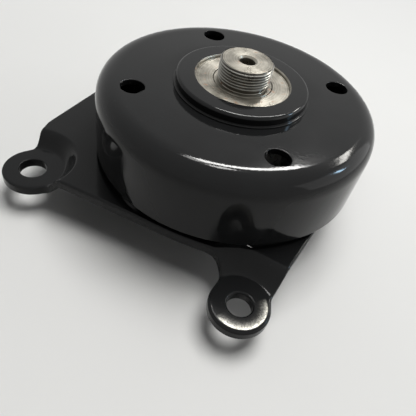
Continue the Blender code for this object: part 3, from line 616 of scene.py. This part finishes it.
def make_pulley(coat):
    """The drawn cup: belt wall, soft front corner, web dished down to the hub, spanner holes."""
    low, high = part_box("pulley_shell")
    radius = high.x
    rim, face = low.z, high.z
    under = face - PULLEY_SHEET
    seat = face - WEB_DISH_DEPTH
    bore = HUB_SPIGOT_RADIUS + SEAT_GAP
    flat_outer = radius - PULLEY_CORNER
    flat_inner = HUB_BASE_RADIUS + WEB_DISH_WIDTH
    inner_corner = PULLEY_CORNER - PULLEY_SHEET
    wall = []
    inner = []
    for angle in quarter(PULLEY_CORNER_STEPS):
        across = sin(angle) ** (2 / PULLEY_CORNER_POWER)
        down = 1 - cos(angle) ** (2 / PULLEY_CORNER_POWER)
        wall.append((flat_outer + PULLEY_CORNER * across, face - PULLEY_CORNER * down))
        inner.append((flat_outer + inner_corner * across, under - inner_corner * down))
    foot = radius - PULLEY_DRAFT
    wall += arc((foot - RIM_ROUND, rim + RIM_ROUND), RIM_ROUND, 0, -90, LIP_STEPS)
    wall += arc((foot - PULLEY_SHEET + RIM_ROUND, rim + RIM_ROUND), RIM_ROUND, 270, 180, LIP_STEPS)
    wall += inner[::-1]
    dish = []
    for i in range(WEB_DISH_STEPS + 1):
        share = i / WEB_DISH_STEPS
        dish.append((flat_inner - WEB_DISH_WIDTH * share, face - WEB_DISH_DEPTH * share ** 2))
    middle = dish + [(bore, seat), (bore, seat - PULLEY_SHEET)]
    middle += [(spot, height - PULLEY_SHEET) for spot, height in reversed(dish)]
    mesh = bmesh.new()
    lathe(mesh, wall, PULLEY_STEPS)
    lathe(mesh, middle, PULLEY_STEPS)
    loops = [ring_points((0, 0), flat_outer, PULLEY_STEPS), ring_points((0, 0), flat_inner, PULLEY_STEPS)]
    hole = lip_profile(SPANNER_HOLE_RADIUS, face, under, SPANNER_HOLE_LIP)
    reach = radius - SPANNER_HOLE_INSET
    for i in range(SPANNER_HOLES):
        angle = radians(SPANNER_HOLE_START + 360 * i / SPANNER_HOLES)
        spot = (reach * cos(angle), reach * sin(angle))
        loops.append(ring_points(spot, SPANNER_HOLE_RADIUS + SPANNER_HOLE_LIP, HOLE_STEPS))
        lathe(mesh, hole, HOLE_STEPS, centre=spot)
    points, faces = triangulated(loops, [])
    for height in (face, under):
        corners = [mesh.verts.new((*point, height)) for point in points]
        for triangle in faces:
            mesh.faces.new([corners[i] for i in triangle])
    piece("belt_pulley", mesh, [coat], "pulley", "black_coat", "pulley_shell")


def make_hub(coat, steel):
    """The stepped hub ring: black outside, bare turned recess round the spindle."""
    low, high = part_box("hub")
    step_radius = HUB_BASE_RADIUS - HUB_LEDGE_WIDTH
    top, bottom = high.z, low.z
    floor = top - HUB_RECESS_DEPTH
    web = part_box("pulley_shell")[1].z - WEB_DISH_DEPTH
    seat = web + CONTACT_GAP
    ledge = web + SEAT_GAP + HUB_BASE_HEIGHT
    swage_top = web - PULLEY_SHEET - SEAT_GAP
    swage = HUB_SPIGOT_RADIUS + HUB_SWAGE_WIDTH
    lip = HUB_RECESS_RADIUS + HUB_RECESS_CHAMFER
    outside = [(lip, top, EDGE_ROUND)]
    outside += [(HUB_RECESS_RADIUS, top - HUB_RECESS_CHAMFER, EDGE_ROUND), (HUB_RECESS_RADIUS, floor, 0.0)]
    outside += [(HUB_BORE, floor, EDGE_ROUND), (HUB_BORE, bottom, EDGE_ROUND)]
    outside += [(swage, bottom, HUB_SWAGE_ROUND), (swage, swage_top, EDGE_ROUND)]
    outside += [(HUB_SPIGOT_RADIUS, swage_top, 0.0), (HUB_SPIGOT_RADIUS, seat, 0.0)]
    outside += [(HUB_BASE_RADIUS, seat, EDGE_ROUND), (HUB_BASE_RADIUS, ledge, HUB_LEDGE_ROUND)]
    outside += [(step_radius, ledge, EDGE_ROUND), (step_radius, top, HUB_TOP_ROUND)]
    profile = [tuple(point) for point, _ in rounded(outside, TURNED_ARC_STEP)]
    mesh = bmesh.new()
    lathe(mesh, profile, HUB_STEPS, closed=True)
    for face in mesh.faces:
        spot = face.calc_center_median()
        if hypot(spot.x, spot.y) < lip - EDGE_ROUND:
            face.material_index = 1
    piece("stepped_hub", mesh, [coat, steel], "pulley", "black_coat", "hub", sharp=40.0)


def thread_radius(height, phase, foot, top):
    """The thread's radius at a height and a share of its pitch, tapered off at both ends."""
    away = abs(phase % 1.0 - 0.5) * 2
    climb = min(max((away - THREAD_ROOT) / (1 - THREAD_ROOT - THREAD_CREST), 0.0), 1.0)
    cut = THREAD_RADIUS - THREAD_DEPTH * (1 - climb)
    lower = THREAD_RADIUS - RELIEF_DEPTH + (height - foot)
    upper = THREAD_RADIUS - THREAD_CHAMFER + (top - height)
    return min(cut, lower, upper)


def add_thread(mesh, foot, top, slot):
    """A right-hand thread whose rows follow the helix, between two plain rings."""
    rows = ceil((top - foot) / THREAD_PITCH + 1) * THREAD_ROWS + 1
    columns = []
    for j in range(SPINDLE_STEPS):
        column = []
        for i in range(rows):
            climb = i / THREAD_ROWS - 1 + j / SPINDLE_STEPS
            height = min(max(foot + climb * THREAD_PITCH, foot), top)
            radius = thread_radius(height, i / THREAD_ROWS, foot, top)
            angle = 2 * pi * j / SPINDLE_STEPS
            column.append(mesh.verts.new((radius * cos(angle), radius * sin(angle), height)))
        columns.append(column)
    for j, here in enumerate(columns):
        seam = j + 1 == SPINDLE_STEPS
        there = columns[0] if seam else columns[j + 1]
        shift = THREAD_ROWS if seam else 0
        for i in range(rows - 1):
            right = min(i + shift, rows - 1)
            above = min(i + 1 + shift, rows - 1)
            corners = [here[i], there[right], there[above], here[i + 1]]
            face = mesh.faces.new(list(dict.fromkeys(corners)))
            face.material_index = slot


def make_spindle(steel, thread_steel):
    """The shaft: tail with a ring groove, journal, flange, shoulder, relief, thread and centre hole."""
    low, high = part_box("spindle")
    groove_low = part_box("spindle_circlip")[0].z - SEAT_GAP
    groove_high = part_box("spindle_circlip")[1].z + SEAT_GAP / 2
    hub_low, hub_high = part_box("hub")
    seat = hub_high.z - HUB_RECESS_DEPTH
    shoulder = THREAD_RADIUS + SHOULDER_STEP
    flange = shoulder + SPINDLE_FLANGE_STEP
    flange_top = hub_low.z - SEAT_GAP
    flange_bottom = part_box("front_inner_ring")[1].z + SEAT_GAP
    groove = JOURNAL_RADIUS - CIRCLIP_SEATING
    relief = THREAD_RADIUS - RELIEF_DEPTH
    top = high.z
    foot = seat + RELIEF_WIDTH
    end = THREAD_RADIUS - THREAD_CHAMFER
    hole_floor = top - CENTRE_HOLE_DEPTH
    tail = [(0.0, low.z), (groove, low.z), (JOURNAL_RADIUS, low.z + CIRCLIP_SEATING)]
    tail += [(JOURNAL_RADIUS, groove_low), (groove, groove_low), (groove, groove_high)]
    tail += [(JOURNAL_RADIUS, groove_high), (JOURNAL_RADIUS, flange_bottom), (flange, flange_bottom)]
    tail += [(flange, flange_top), (shoulder, flange_top), (shoulder, seat - EDGE_ROUND)]
    tail += [(shoulder - EDGE_ROUND, seat), (relief + EDGE_ROUND, seat), (relief, seat + EDGE_ROUND)]
    tail += [(relief, foot)]
    nose = [(end, top), (CENTRE_HOLE_RADIUS + COUNTERSINK, top)]
    nose += [(CENTRE_HOLE_RADIUS, top - COUNTERSINK), (CENTRE_HOLE_RADIUS, hole_floor)]
    nose += [(0.0, hole_floor - DRILL_POINT_DEPTH)]
    mesh = bmesh.new()
    lathe(mesh, tail[:-1], SPINDLE_STEPS)
    # The relief takes the thread's finish, whose darkening paints shade there.
    lathe(mesh, tail[-2:], SPINDLE_STEPS, 1)
    add_thread(mesh, foot, top, 1)
    lathe(mesh, nose, SPINDLE_STEPS)
    piece("threaded_spindle", mesh, [steel, thread_steel], "pulley", "bare_steel", "spindle", sharp=25.0)


def tangent(radius, angle, run):
    """A point on the line that touches a circle at an angle, that far on from where they touch."""
    out = Vector((cos(radians(angle)), sin(radians(angle))))
    return out * radius + Vector((-out.y, out.x)) * run


def corner_ear(x, y, along, across):
    """Corners round a left-hand near ear, turned over in X or Y for the others."""
    corners = [(EAR_OVERHANG - EAR_RADIUS, EAR_SIDE_RUN, EAR_SIDE_ROUND)]
    corners.append((*tangent(EAR_RADIUS, EAR_TANGENTS[0], -EAR_NOTCH_RUN), EAR_NOTCH_ROUND))
    for here, there in zip(EAR_TANGENTS, EAR_TANGENTS[1:]):
        run = EAR_RADIUS * tan(radians(there - here) / 2)
        corners.append((*tangent(EAR_RADIUS, here, run), EAR_RADIUS))
    corners.append((*tangent(EAR_RADIUS, EAR_TANGENTS[-1], EAR_EDGE_RUN), EAR_EDGE_ROUND))
    corners = [(x + along * px, y + across * py, radius) for px, py, radius in corners]
    return corners if along == across else corners[::-1]


def bracket_outline():
    """The plate's plan with outward directions, filled in along its straight runs."""
    corners = corner_ear(LEFT_EAR_X, NEAR_EAR_Y, 1, 1)
    corners.append((NEAR_EDGE_X, NEAR_EDGE_Y, NEAR_EDGE_SWEEP))
    corners.append((TAB_X - TAB_RADIUS, TAB_ROOT_Y, TAB_ROOT_ROUND))
    corners.append((TAB_X - TAB_RADIUS, TAB_Y - TAB_RADIUS, TAB_RADIUS))
    corners.append((TAB_X + TAB_RADIUS, TAB_Y - TAB_RADIUS, TAB_RADIUS))
    turn = radians(TAB_SHOULDER_TURN)
    shoulder = TAB_Y + TAB_RADIUS * tan(turn / 2)
    corners.append((TAB_X + TAB_RADIUS, shoulder, TAB_RADIUS))
    corners.append((RIGHT_SIDE_X, shoulder + TAB_OVERHANG / tan(turn), TAB_SHOULDER_ROUND))
    corners += corner_ear(FAR_RIGHT_EAR_X, FAR_EAR_Y, -1, -1)
    corners += corner_ear(FAR_LEFT_EAR_X, FAR_EAR_Y, 1, -1)
    outline = []
    bare = rounded(corners)
    for (here, out), (there, out_there) in zip(bare, bare[1:] + bare[:1]):
        gap = (there - here).length
        if gap < MERGE_DISTANCE:
            continue
        steps = ceil(gap / OUTLINE_STEP)
        for i in range(steps):
            outline.append((here.lerp(there, i / steps), out.lerp(out_there, i / steps).normalized()))
    return outline


def bend_reach(ear, angle):
    """How far from an ear's hole its upper bend lies: straight across at first, then round."""
    return ear.straight / max(sin(angle), ear.straight / ear.limit)


def sheet_rise(point, top):
    """Height of the sheet's top face over a point of the plan."""
    climbs = []
    for ear in EARS:
        dx, dy = point[0] - ear.x, point[1] - ear.y
        reach = bend_reach(ear, atan2(dy, dx))
        climbs.append(eased((hypot(dx, dy) - ear.pad) / (reach - ear.pad)))
    return top - EAR_DROP * (1 - min(climbs))


def hole_edge(centre, radius, steps):
    """A hole's plan, with the directions out of the sheet, into the hole."""
    spots = ring_points(centre, radius, steps)
    return [(Vector(spot), (Vector(centre) - Vector(spot)).normalized()) for spot in spots]


def edge_roll(point):
    """Width and drop of the rolled upper edge at a point of the outline, fullest round the tab's pad."""
    away = hypot(point[0] - TAB_X, point[1] - TAB_Y)
    share = 1 - eased((away - TAB_PAD_RADIUS) / TAB_RAMP)
    width = ROLL_WIDTH + (TAB_ROLL_WIDTH - ROLL_WIDTH) * share
    return width, ROLL_DROP + (TAB_ROLL_DROP - ROLL_DROP) * share


def edge_rows(widest, drop, thickness, burr):
    """Insets and depths down a sheet's edge: upper roll, side, lower burr and underside."""
    rows = [(widest * (1 - sin(a)), drop * (1 - cos(a))) for a in quarter(ROLL_STEPS)]
    lower = [(burr * (1 - sin(a)), burr * (1 - cos(a))) for a in quarter(BURR_STEPS)]
    rows += [(inset, thickness - depth) for inset, depth in reversed(lower)]
    return rows + [(widest, thickness)]


def sheet_mesh(edges, loose, rise, thickness, burr):
    """A sheet with rolled edges. Each edge lists (point, outward direction, roll width, roll drop)."""
    loops = [[tuple(point - out * width) for point, out, width, _ in edge] for edge in edges]
    points, faces = triangulated(loops, loose)
    mesh = bmesh.new()
    for drop in (0.0, thickness):
        corners = [mesh.verts.new((*point, rise(point) - drop)) for point in points]
        for triangle in faces:
            mesh.faces.new([corners[i] for i in triangle])
    for edge in edges:
        strips = []
        for point, out, width, drop in edge:
            strip = []
            for inset, depth in edge_rows(width, drop, thickness, burr):
                spot = point - out * inset
                strip.append(mesh.verts.new((*spot, rise(spot) - depth)))
            strips.append(strip)
        for here, there in zip(strips, strips[1:] + strips[:1]):
            for i in range(len(here) - 1):
                mesh.faces.new((here[i], there[i], there[i + 1], here[i + 1]))
    return mesh


def make_bracket(coat, rubbed_highlight_coat):
    """The stamped sheet: rolled edges, and a pad pressed down round each bolt hole."""
    low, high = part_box("bracket_plate")
    top = high.z
    outline = [(Vector((max(point.x, low.x), point.y)), out) for point, out in bracket_outline()]
    edges = [[(point, out, *edge_roll(point)) for point, out in outline]]
    holes = [(0.0, 0.0, CARRIER_HOLE_RADIUS, CARRIER_STEPS, HOLE_LIP)]
    holes += [(ear.x, ear.y, ear.hole, HOLE_STEPS, ear.lip) for ear in EARS]
    for x, y, radius, steps, lip in holes:
        edges.append([(point, out, lip, lip) for point, out in hole_edge((x, y), radius, steps)])
    loose = []
    for ear in EARS:
        for ring in range(RAMP_RINGS + 1):
            for spoke in range(RAMP_SPOKES):
                angle = 2 * pi * spoke / RAMP_SPOKES
                climb = bend_reach(ear, angle) - ear.pad
                radius = ear.pad + climb * ring / RAMP_RINGS
                loose.append((ear.x + radius * cos(angle), ear.y + radius * sin(angle)))
    margin = [tuple(point - out * (width + OUTLINE_STEP / 3)) for point, out, width, _ in edges[0]]
    loose = [spot for spot, kept in zip(loose, inside(loose, margin)) if kept]
    mesh = sheet_mesh(edges, loose, lambda point: sheet_rise(point, top), PLATE_THICKNESS, SHEET_BURR)
    # The tab's pad gets the coat with the worn seat and its painted highlight.
    seat = top - EAR_DROP - PLATE_THICKNESS / 2
    for face in mesh.faces:
        spot = face.calc_center_median()
        if spot.z > seat and hypot(spot.x - TAB_X, spot.y - TAB_Y) < TAB_RADIUS - TAB_ROLL_WIDTH:
            face.material_index = 1
    piece("stamped_bracket", mesh, [coat, rubbed_highlight_coat], "bracket", "black_coat", "bracket_plate")


def turned_piece(name, corners, finish, body, slot, cad_node, steps=RING_STEPS):
    """A turned piece, from its section's corners (radius, height, round), run anticlockwise."""
    profile = [tuple(point) for point, _ in rounded(corners, TURNED_ARC_STEP)]
    mesh = bmesh.new()
    lathe(mesh, profile, steps, closed=profile[0][0] > 0)
    piece(name, mesh, [finish], body, slot, cad_node, sharp=30.0)


def make_carrier(steel):
    """The turned bearing tube, whose flange and swaged collar grip the plate between them."""
    low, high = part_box("bearing_carrier")
    plate_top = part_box("bracket_plate")[1].z
    plate_bottom = plate_top - PLATE_THICKNESS
    flange_top = plate_top + SEAT_GAP + CARRIER_FLANGE_THICKNESS
    collar_bottom = plate_bottom - SEAT_GAP - CARRIER_SWAGE_HEIGHT
    collar = CARRIER_RADIUS + CARRIER_SWAGE_WIDTH
    groove = BEARING_SEAT_RADIUS + CIRCLIP_SEATING
    clip_low, clip_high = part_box("carrier_circlip")
    groove_bottom = clip_low.z - SEAT_GAP / 2
    groove_top = clip_high.z + SEAT_GAP
    land_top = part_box("front_outer_ring")[0].z - SEAT_GAP
    land_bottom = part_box("rear_outer_ring")[1].z + SEAT_GAP
    neck = CARRIER_RADIUS - CARRIER_CHAMFER
    corners = [(BEARING_SEAT_RADIUS, low.z, EDGE_ROUND), (neck, low.z, EDGE_ROUND)]
    corners += [(CARRIER_RADIUS, low.z + CARRIER_CHAMFER, EDGE_ROUND)]
    corners += [(CARRIER_RADIUS, collar_bottom, EDGE_ROUND)]
    corners += [(collar, collar_bottom + CARRIER_CHAMFER, CARRIER_SWAGE_ROUND)]
    corners += [(collar, plate_bottom - CONTACT_GAP, EDGE_ROUND)]
    corners += [(CARRIER_RADIUS, plate_bottom - CONTACT_GAP, 0.0)]
    corners += [(CARRIER_RADIUS, plate_top + CONTACT_GAP, 0.0)]
    corners += [(CARRIER_FLANGE_RADIUS, plate_top + CONTACT_GAP, EDGE_ROUND)]
    corners += [(CARRIER_FLANGE_RADIUS, flange_top, CARRIER_CHAMFER)]
    corners += [(CARRIER_RADIUS, flange_top, CARRIER_FILLET)]
    corners += [(CARRIER_RADIUS, high.z - CARRIER_CHAMFER, EDGE_ROUND)]
    corners += [(neck, high.z, EDGE_ROUND), (BEARING_SEAT_RADIUS, high.z, EDGE_ROUND)]
    corners += [(BEARING_SEAT_RADIUS, groove_top, 0.0), (groove, groove_top, 0.0)]
    corners += [(groove, groove_bottom, 0.0), (BEARING_SEAT_RADIUS, groove_bottom, 0.0)]
    corners += [(BEARING_SEAT_RADIUS, land_top, 0.0), (CARRIER_LAND_RADIUS, land_top, EDGE_ROUND)]
    corners += [(CARRIER_LAND_RADIUS, land_bottom, EDGE_ROUND), (BEARING_SEAT_RADIUS, land_bottom, 0.0)]
    turned_piece("carrier_tube", corners, steel, "bracket", "bare_steel", "bearing_carrier", CARRIER_STEPS)


def make_cap(pressed):
    """The pressed cup that closes the carrier, with a shallow ring pressed into its face."""
    low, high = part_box("rear_cap")
    outer = BEARING_SEAT_RADIUS - SEAT_GAP
    inner = outer - CAP_WALL
    back = low.z + CAP_FACE
    first, last = CAP_GROOVE
    ring = [(first, 0.0), (first + CAP_GROOVE_SLOPE, CAP_GROOVE_DEPTH)]
    ring += [(last - CAP_GROOVE_SLOPE, CAP_GROOVE_DEPTH), (last, 0.0)]
    corners = [(0.0, low.z, 0.0)]
    corners += [(radius, low.z + depth, CAP_GROOVE_DEPTH) for radius, depth in ring]
    corners += [(outer, low.z, CAP_ROUND), (outer, high.z, EDGE_ROUND)]
    corners += [(inner, high.z, EDGE_ROUND), (inner, back, CAP_ROUND)]
    corners += [(radius, back + depth, CAP_GROOVE_DEPTH) for radius, depth in reversed(ring)]
    corners += [(0.0, back, 0.0)]
    turned_piece("closing_cap", corners, pressed, "bracket", "pressed_steel", "rear_cap")


def race(middle, land, towards):
    """Corners of a ball groove in a ring's land, which lies at an angle from the balls' middle."""
    spread = degrees(acos(abs(PITCH_RADIUS - land) / RACE_RADIUS))
    points = arc((PITCH_RADIUS, middle), RACE_RADIUS, towards + spread, towards - spread, RACE_STEPS)
    return [(radius, height, 0.0) for radius, height in points]


def make_seal(name, cad_node, outwards, rubber):
    """A moulded seal: a dished ring between a rim bead and a lip bead."""
    low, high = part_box(cad_node)
    lip = INNER_LAND_RADIUS + SEAL_LIP_GAP
    rim = OUTER_LAND_RADIUS - SEAT_GAP
    dish = SEAL_BEAD + SEAL_SLOPE
    floor = 1.0 - SEAL_DISH / (high.z - low.z)
    corners = [(lip, 0.0), (rim, 0.0), (rim, 1.0), (rim - SEAL_BEAD, 1.0), (rim - dish, floor)]
    corners += [(lip + dish, floor), (lip + SEAL_BEAD, 1.0), (lip, 1.0)]
    if outwards < 0:
        corners = [(radius, 1.0 - share) for radius, share in reversed(corners)]
    corners = [(radius, low.z + (high.z - low.z) * share, EDGE_ROUND / 2) for radius, share in corners]
    turned_piece(name, corners, rubber, "bracket", "seal_rubber", cad_node)


def cage_corner(mesh, point, turn, radius, middle):
    """A corner of the cage, from a point of its flat pattern and the pocket's angle."""
    angle = turn + point[0] / PITCH_RADIUS
    return mesh.verts.new((radius * cos(angle), radius * sin(angle), middle + point[1]))


def make_cage(side, pressed):
    """A ball cage: a thin band with a round pocket for each ball."""
    low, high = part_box(side + "_cage")
    middle = (low.z + high.z) / 2
    half = (high.z - low.z) / 2
    span = 2 * pi * PITCH_RADIUS / BALL_COUNT
    run = [span * (i / CAGE_SPAN_STEPS - 0.5) for i in range(CAGE_SPAN_STEPS + 1)]
    lower = [(along, -half) for along in run]
    upper = [(along, half) for along in run]
    pocket = ring_points((0.0, 0.0), RACE_RADIUS, HOLE_STEPS)
    points, faces = triangulated([lower + upper[::-1], pocket], [])
    edges = (lower, upper, pocket + pocket[:1])
    mesh = bmesh.new()
    for i in range(BALL_COUNT):
        turn = 2 * pi * i / BALL_COUNT
        skins = []
        for radius in (PITCH_RADIUS - CAGE_SHEET / 2, PITCH_RADIUS + CAGE_SHEET / 2):
            place = (turn, radius, middle)
            corners = [cage_corner(mesh, point, *place) for point in points]
            for triangle in faces:
                mesh.faces.new([corners[j] for j in triangle])
            skins.append([[cage_corner(mesh, point, *place) for point in edge] for edge in edges])
        for inner, outer in zip(*skins):
            for j in range(len(inner) - 1):
                mesh.faces.new((inner[j], inner[j + 1], outer[j + 1], outer[j]))
    cage = side + "_cage"
    piece(side + "_pressed_cage", mesh, [pressed], cage, "pressed_steel", cage, sharp=30.0)


def make_bearing(side, bright, pressed, rubber):
    """One ball bearing: raced rings with rounded corners, moulded seals, cage and balls."""
    low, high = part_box(side + "_inner_ring")
    middle = (low.z + high.z) / 2
    corners = [(BEARING_BORE, low.z, RING_ROUND), (INNER_LAND_RADIUS, low.z, LAND_ROUND)]
    corners += race(middle, INNER_LAND_RADIUS, 180.0)
    corners += [(INNER_LAND_RADIUS, high.z, LAND_ROUND), (BEARING_BORE, high.z, RING_ROUND)]
    turned_piece(side + "_bearing_inner", corners, bright, "pulley", "bearing_steel", side + "_inner_ring")
    corners = [(BEARING_OUTSIDE, low.z, RING_ROUND), (BEARING_OUTSIDE, high.z, RING_ROUND)]
    corners += [(OUTER_LAND_RADIUS, high.z, LAND_ROUND)]
    corners += race(middle, OUTER_LAND_RADIUS, 0.0)
    corners += [(OUTER_LAND_RADIUS, low.z, LAND_ROUND)]
    turned_piece(side + "_bearing_outer", corners, bright, "bracket", "bearing_steel", side + "_outer_ring")
    make_seal(side + "_seal_upper", side + "_upper_seal", 1, rubber)
    make_seal(side + "_seal_lower", side + "_lower_seal", -1, rubber)
    make_cage(side, pressed)
    for i in range(BALL_COUNT):
        cad_node = f"{side}_ball_{i + 1}"
        low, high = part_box(cad_node)
        mesh = bmesh.new()
        centre = Matrix.Translation((low + high) / 2)
        bmesh.ops.create_icosphere(mesh, subdivisions=BALL_FINENESS, radius=BALL_RADIUS, matrix=centre)
        piece(f"{side}_bearing_ball_{i + 1}", mesh, [bright], side + "_cage", "bearing_steel", cad_node)


def make_plain_ring(name, cad_node, outer, finish, slot):
    """A ring on the spindle with its corners broken."""
    low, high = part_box(cad_node)
    corners = [(BEARING_BORE, low.z), (outer, low.z), (outer, high.z), (BEARING_BORE, high.z)]
    corners = [(radius, height, LAND_ROUND) for radius, height in corners]
    turned_piece(name, corners, finish, "pulley", slot, cad_node)


def make_circlip(name, cad_node, seat, towards, body, pressed):
    """An open spring ring with a plier hole in each lug, which points out (1) or in (-1)."""
    low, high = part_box(cad_node)
    edge = seat + towards * CIRCLIP_WIDTH
    lug = edge + towards * CIRCLIP_LUG
    first = CIRCLIP_MOUTH / 2
    last = 360 - first
    inset = CIRCLIP_LUG_SPAN
    corners = [(*spot, 0.0) for spot in arc((0, 0), seat, first, last, RING_STEPS)]
    corners += [(*spot, CIRCLIP_LUG_ROUND) for spot in arc((0, 0), lug, last, last - inset, 1)]
    corners += [(*spot, 0.0) for spot in arc((0, 0), edge, last - inset, first + inset, RING_STEPS)]
    corners += [(*spot, CIRCLIP_LUG_ROUND) for spot in arc((0, 0), lug, first + inset, first, 1)]
    if towards > 0:
        corners = corners[::-1]
    outline = rounded(corners, TURNED_ARC_STEP)
    edges = [[(point, out, EDGE_ROUND, EDGE_ROUND) for point, out in outline]]
    for angle in (first + inset / 2, last - inset / 2):
        spot = (edge * cos(radians(angle)), edge * sin(radians(angle)))
        hole = hole_edge(spot, CIRCLIP_HOLE_RADIUS, SMALL_HOLE_STEPS)
        edges.append([(point, out, EDGE_ROUND, EDGE_ROUND) for point, out in hole])
    mesh = sheet_mesh(edges, [], lambda point: high.z, high.z - low.z, EDGE_ROUND)
    piece(name, mesh, [pressed], body, "pressed_steel", cad_node)


def make_inner_pieces():
    """Carrier, cap, bearings and the rings that keep them in place."""
    pressed = plain_steel(
        "pressed_steel_fine", (0.52, 0.51, 0.49), (0.40, 0.395, 0.38), low=0.3, high=0.45, grain=1800.0)
    bright = plain_steel(
        "bearing_steel_fine", (0.72, 0.72, 0.73), (0.62, 0.62, 0.63), low=0.08, high=0.16, grain=3000.0)
    bare = turned_steel(
        "bare_steel_fine", (0.62, 0.61, 0.58), (0.42, 0.41, 0.39), rust_from=0.72, metallic=0.85)
    dull = turned_steel(
        "dull_steel_fine", (0.20, 0.195, 0.185), (0.13, 0.127, 0.12), rust_from=0.72, metallic=0.6)
    rubber = seal_rubber()
    make_carrier(dull)
    make_cap(pressed)
    make_bearing("front", bright, pressed, rubber)
    make_bearing("rear", bright, pressed, rubber)
    make_plain_ring("distance_sleeve", "spacer_sleeve", INNER_LAND_RADIUS, bare, "bare_steel")
    make_plain_ring("thrust_washer", "spindle_washer", WASHER_RADIUS, pressed, "pressed_steel")
    shaft_seat = JOURNAL_RADIUS - CIRCLIP_SEATING + SEAT_GAP
    bore_seat = BEARING_SEAT_RADIUS + CIRCLIP_SEATING - SEAT_GAP
    make_circlip("shaft_circlip", "spindle_circlip", shaft_seat, 1, "pulley", pressed)
    make_circlip("bore_circlip", "carrier_circlip", bore_seat, -1, "bracket", pressed)


def direction(azimuth, elevation):
    """A unit vector from two angles in degrees."""
    level = cos(radians(elevation))
    return Vector((level * cos(radians(azimuth)), level * sin(radians(azimuth)), sin(radians(elevation))))


def lamp(name, start, end, width, radiance, tint, mirrored=True, lights=True):
    """A rectangular lamp that faces the part, between two directions given as azimuth and elevation.

    A lamp that isn't mirrored doesn't show in glossy surfaces. One that doesn't light only shows there.
    """
    first = direction(*start) * LAMP_DISTANCE
    last = direction(*end) * LAMP_DISTANCE
    data = bpy.data.lights.new(name, "AREA")
    data.shape = "RECTANGLE"
    data.size = (last - first).length
    data.size_y = width
    data.energy = radiance * pi * data.size * width
    data.color = tint
    made = bpy.data.objects.new(name, data)
    back = (first + last).normalized()
    along = (last - first).normalized()
    turned = Matrix((along, back.cross(along), back)).transposed().to_4x4()
    made.matrix_world = Matrix.Translation((first + last) / 2) @ turned
    made.visible_glossy = mirrored
    made.visible_diffuse = lights
    bpy.context.scene.collection.objects.link(made)


def make_floor():
    """The pale floor that the part stands on."""
    mesh = bpy.data.meshes.new("floor")
    corners = [(x * FLOOR_REACH, y * FLOOR_REACH, 0.0) for x, y in ((-1, -1), (1, -1), (1, 1), (-1, 1))]
    mesh.from_pydata(corners, [], [(0, 1, 2, 3)])
    mesh.materials.append(floor_paint())
    floor = bpy.data.objects.new("floor", mesh)
    bpy.context.scene.collection.objects.link(floor)


def make_room():
    """The pale room round the floor, and its lamps."""
    world = bpy.data.worlds.new("room")
    world.use_nodes = True
    tree = world.node_tree
    sky = tree.nodes["Background"]
    sky.inputs["Color"].default_value = BACKGROUND
    strength = remap(tree, backdrop_rays(tree), 0.0, 1.0, ROOM_LIGHT, 1.0)
    tree.links.new(strength, sky.inputs["Strength"])
    bpy.context.scene.world = world
    for *form, limits in LAMPS:
        lamp(*form, **limits)


def make_camera():
    """The photograph's camera, and the plain view transform."""
    data = bpy.data.cameras.new("camera")
    data.sensor_width = SENSOR_WIDTH
    data.lens = CAMERA_LENS
    data.clip_start = CAMERA_NEAR
    camera = bpy.data.objects.new("camera", data)
    place = Vector(CAMERA_PLACE)
    aim = (Vector(CAMERA_TARGET) - place).to_track_quat("-Z", "Y").to_matrix().to_4x4()
    camera.matrix_world = Matrix.Translation(place) @ aim @ Matrix.Rotation(radians(CAMERA_ROLL), 4, "Z")
    bpy.context.scene.collection.objects.link(camera)
    bpy.context.scene.camera = camera
    bpy.context.scene.view_settings.view_transform = "Standard"


coat = black_coat("black_coat_fine", shine=0.175, low=0.07, high=0.11, peel=0.06)
sheet_coat = black_coat("sheet_coat", shine=0.14, low=0.10, high=0.15, peel=0.07)
# The tab's coat, with a worn seat and a painted highlight crescent.
rubbed_highlight_coat = black_coat("rubbed_highlight_coat", shine=0.14, low=0.10, high=0.15, peel=0.07, rub_highlight=True)
recess_steel = turned_steel(
    "turned_seat", (0.315, 0.297, 0.255), (0.165, 0.153, 0.126), rust_from=0.62, metallic=0.80)
thread_steel = turned_steel(
    "cut_thread", (0.475, 0.47, 0.435), (0.31, 0.304, 0.274), rust_from=0.635, metallic=0.7,
    groove=(THREAD_RADIUS - THREAD_DEPTH, THREAD_RADIUS))
make_floor()
make_room()
make_camera()
make_pulley(coat)
make_hub(coat, recess_steel)
make_spindle(recess_steel, thread_steel)
make_bracket(sheet_coat, rubbed_highlight_coat)
make_inner_pieces()
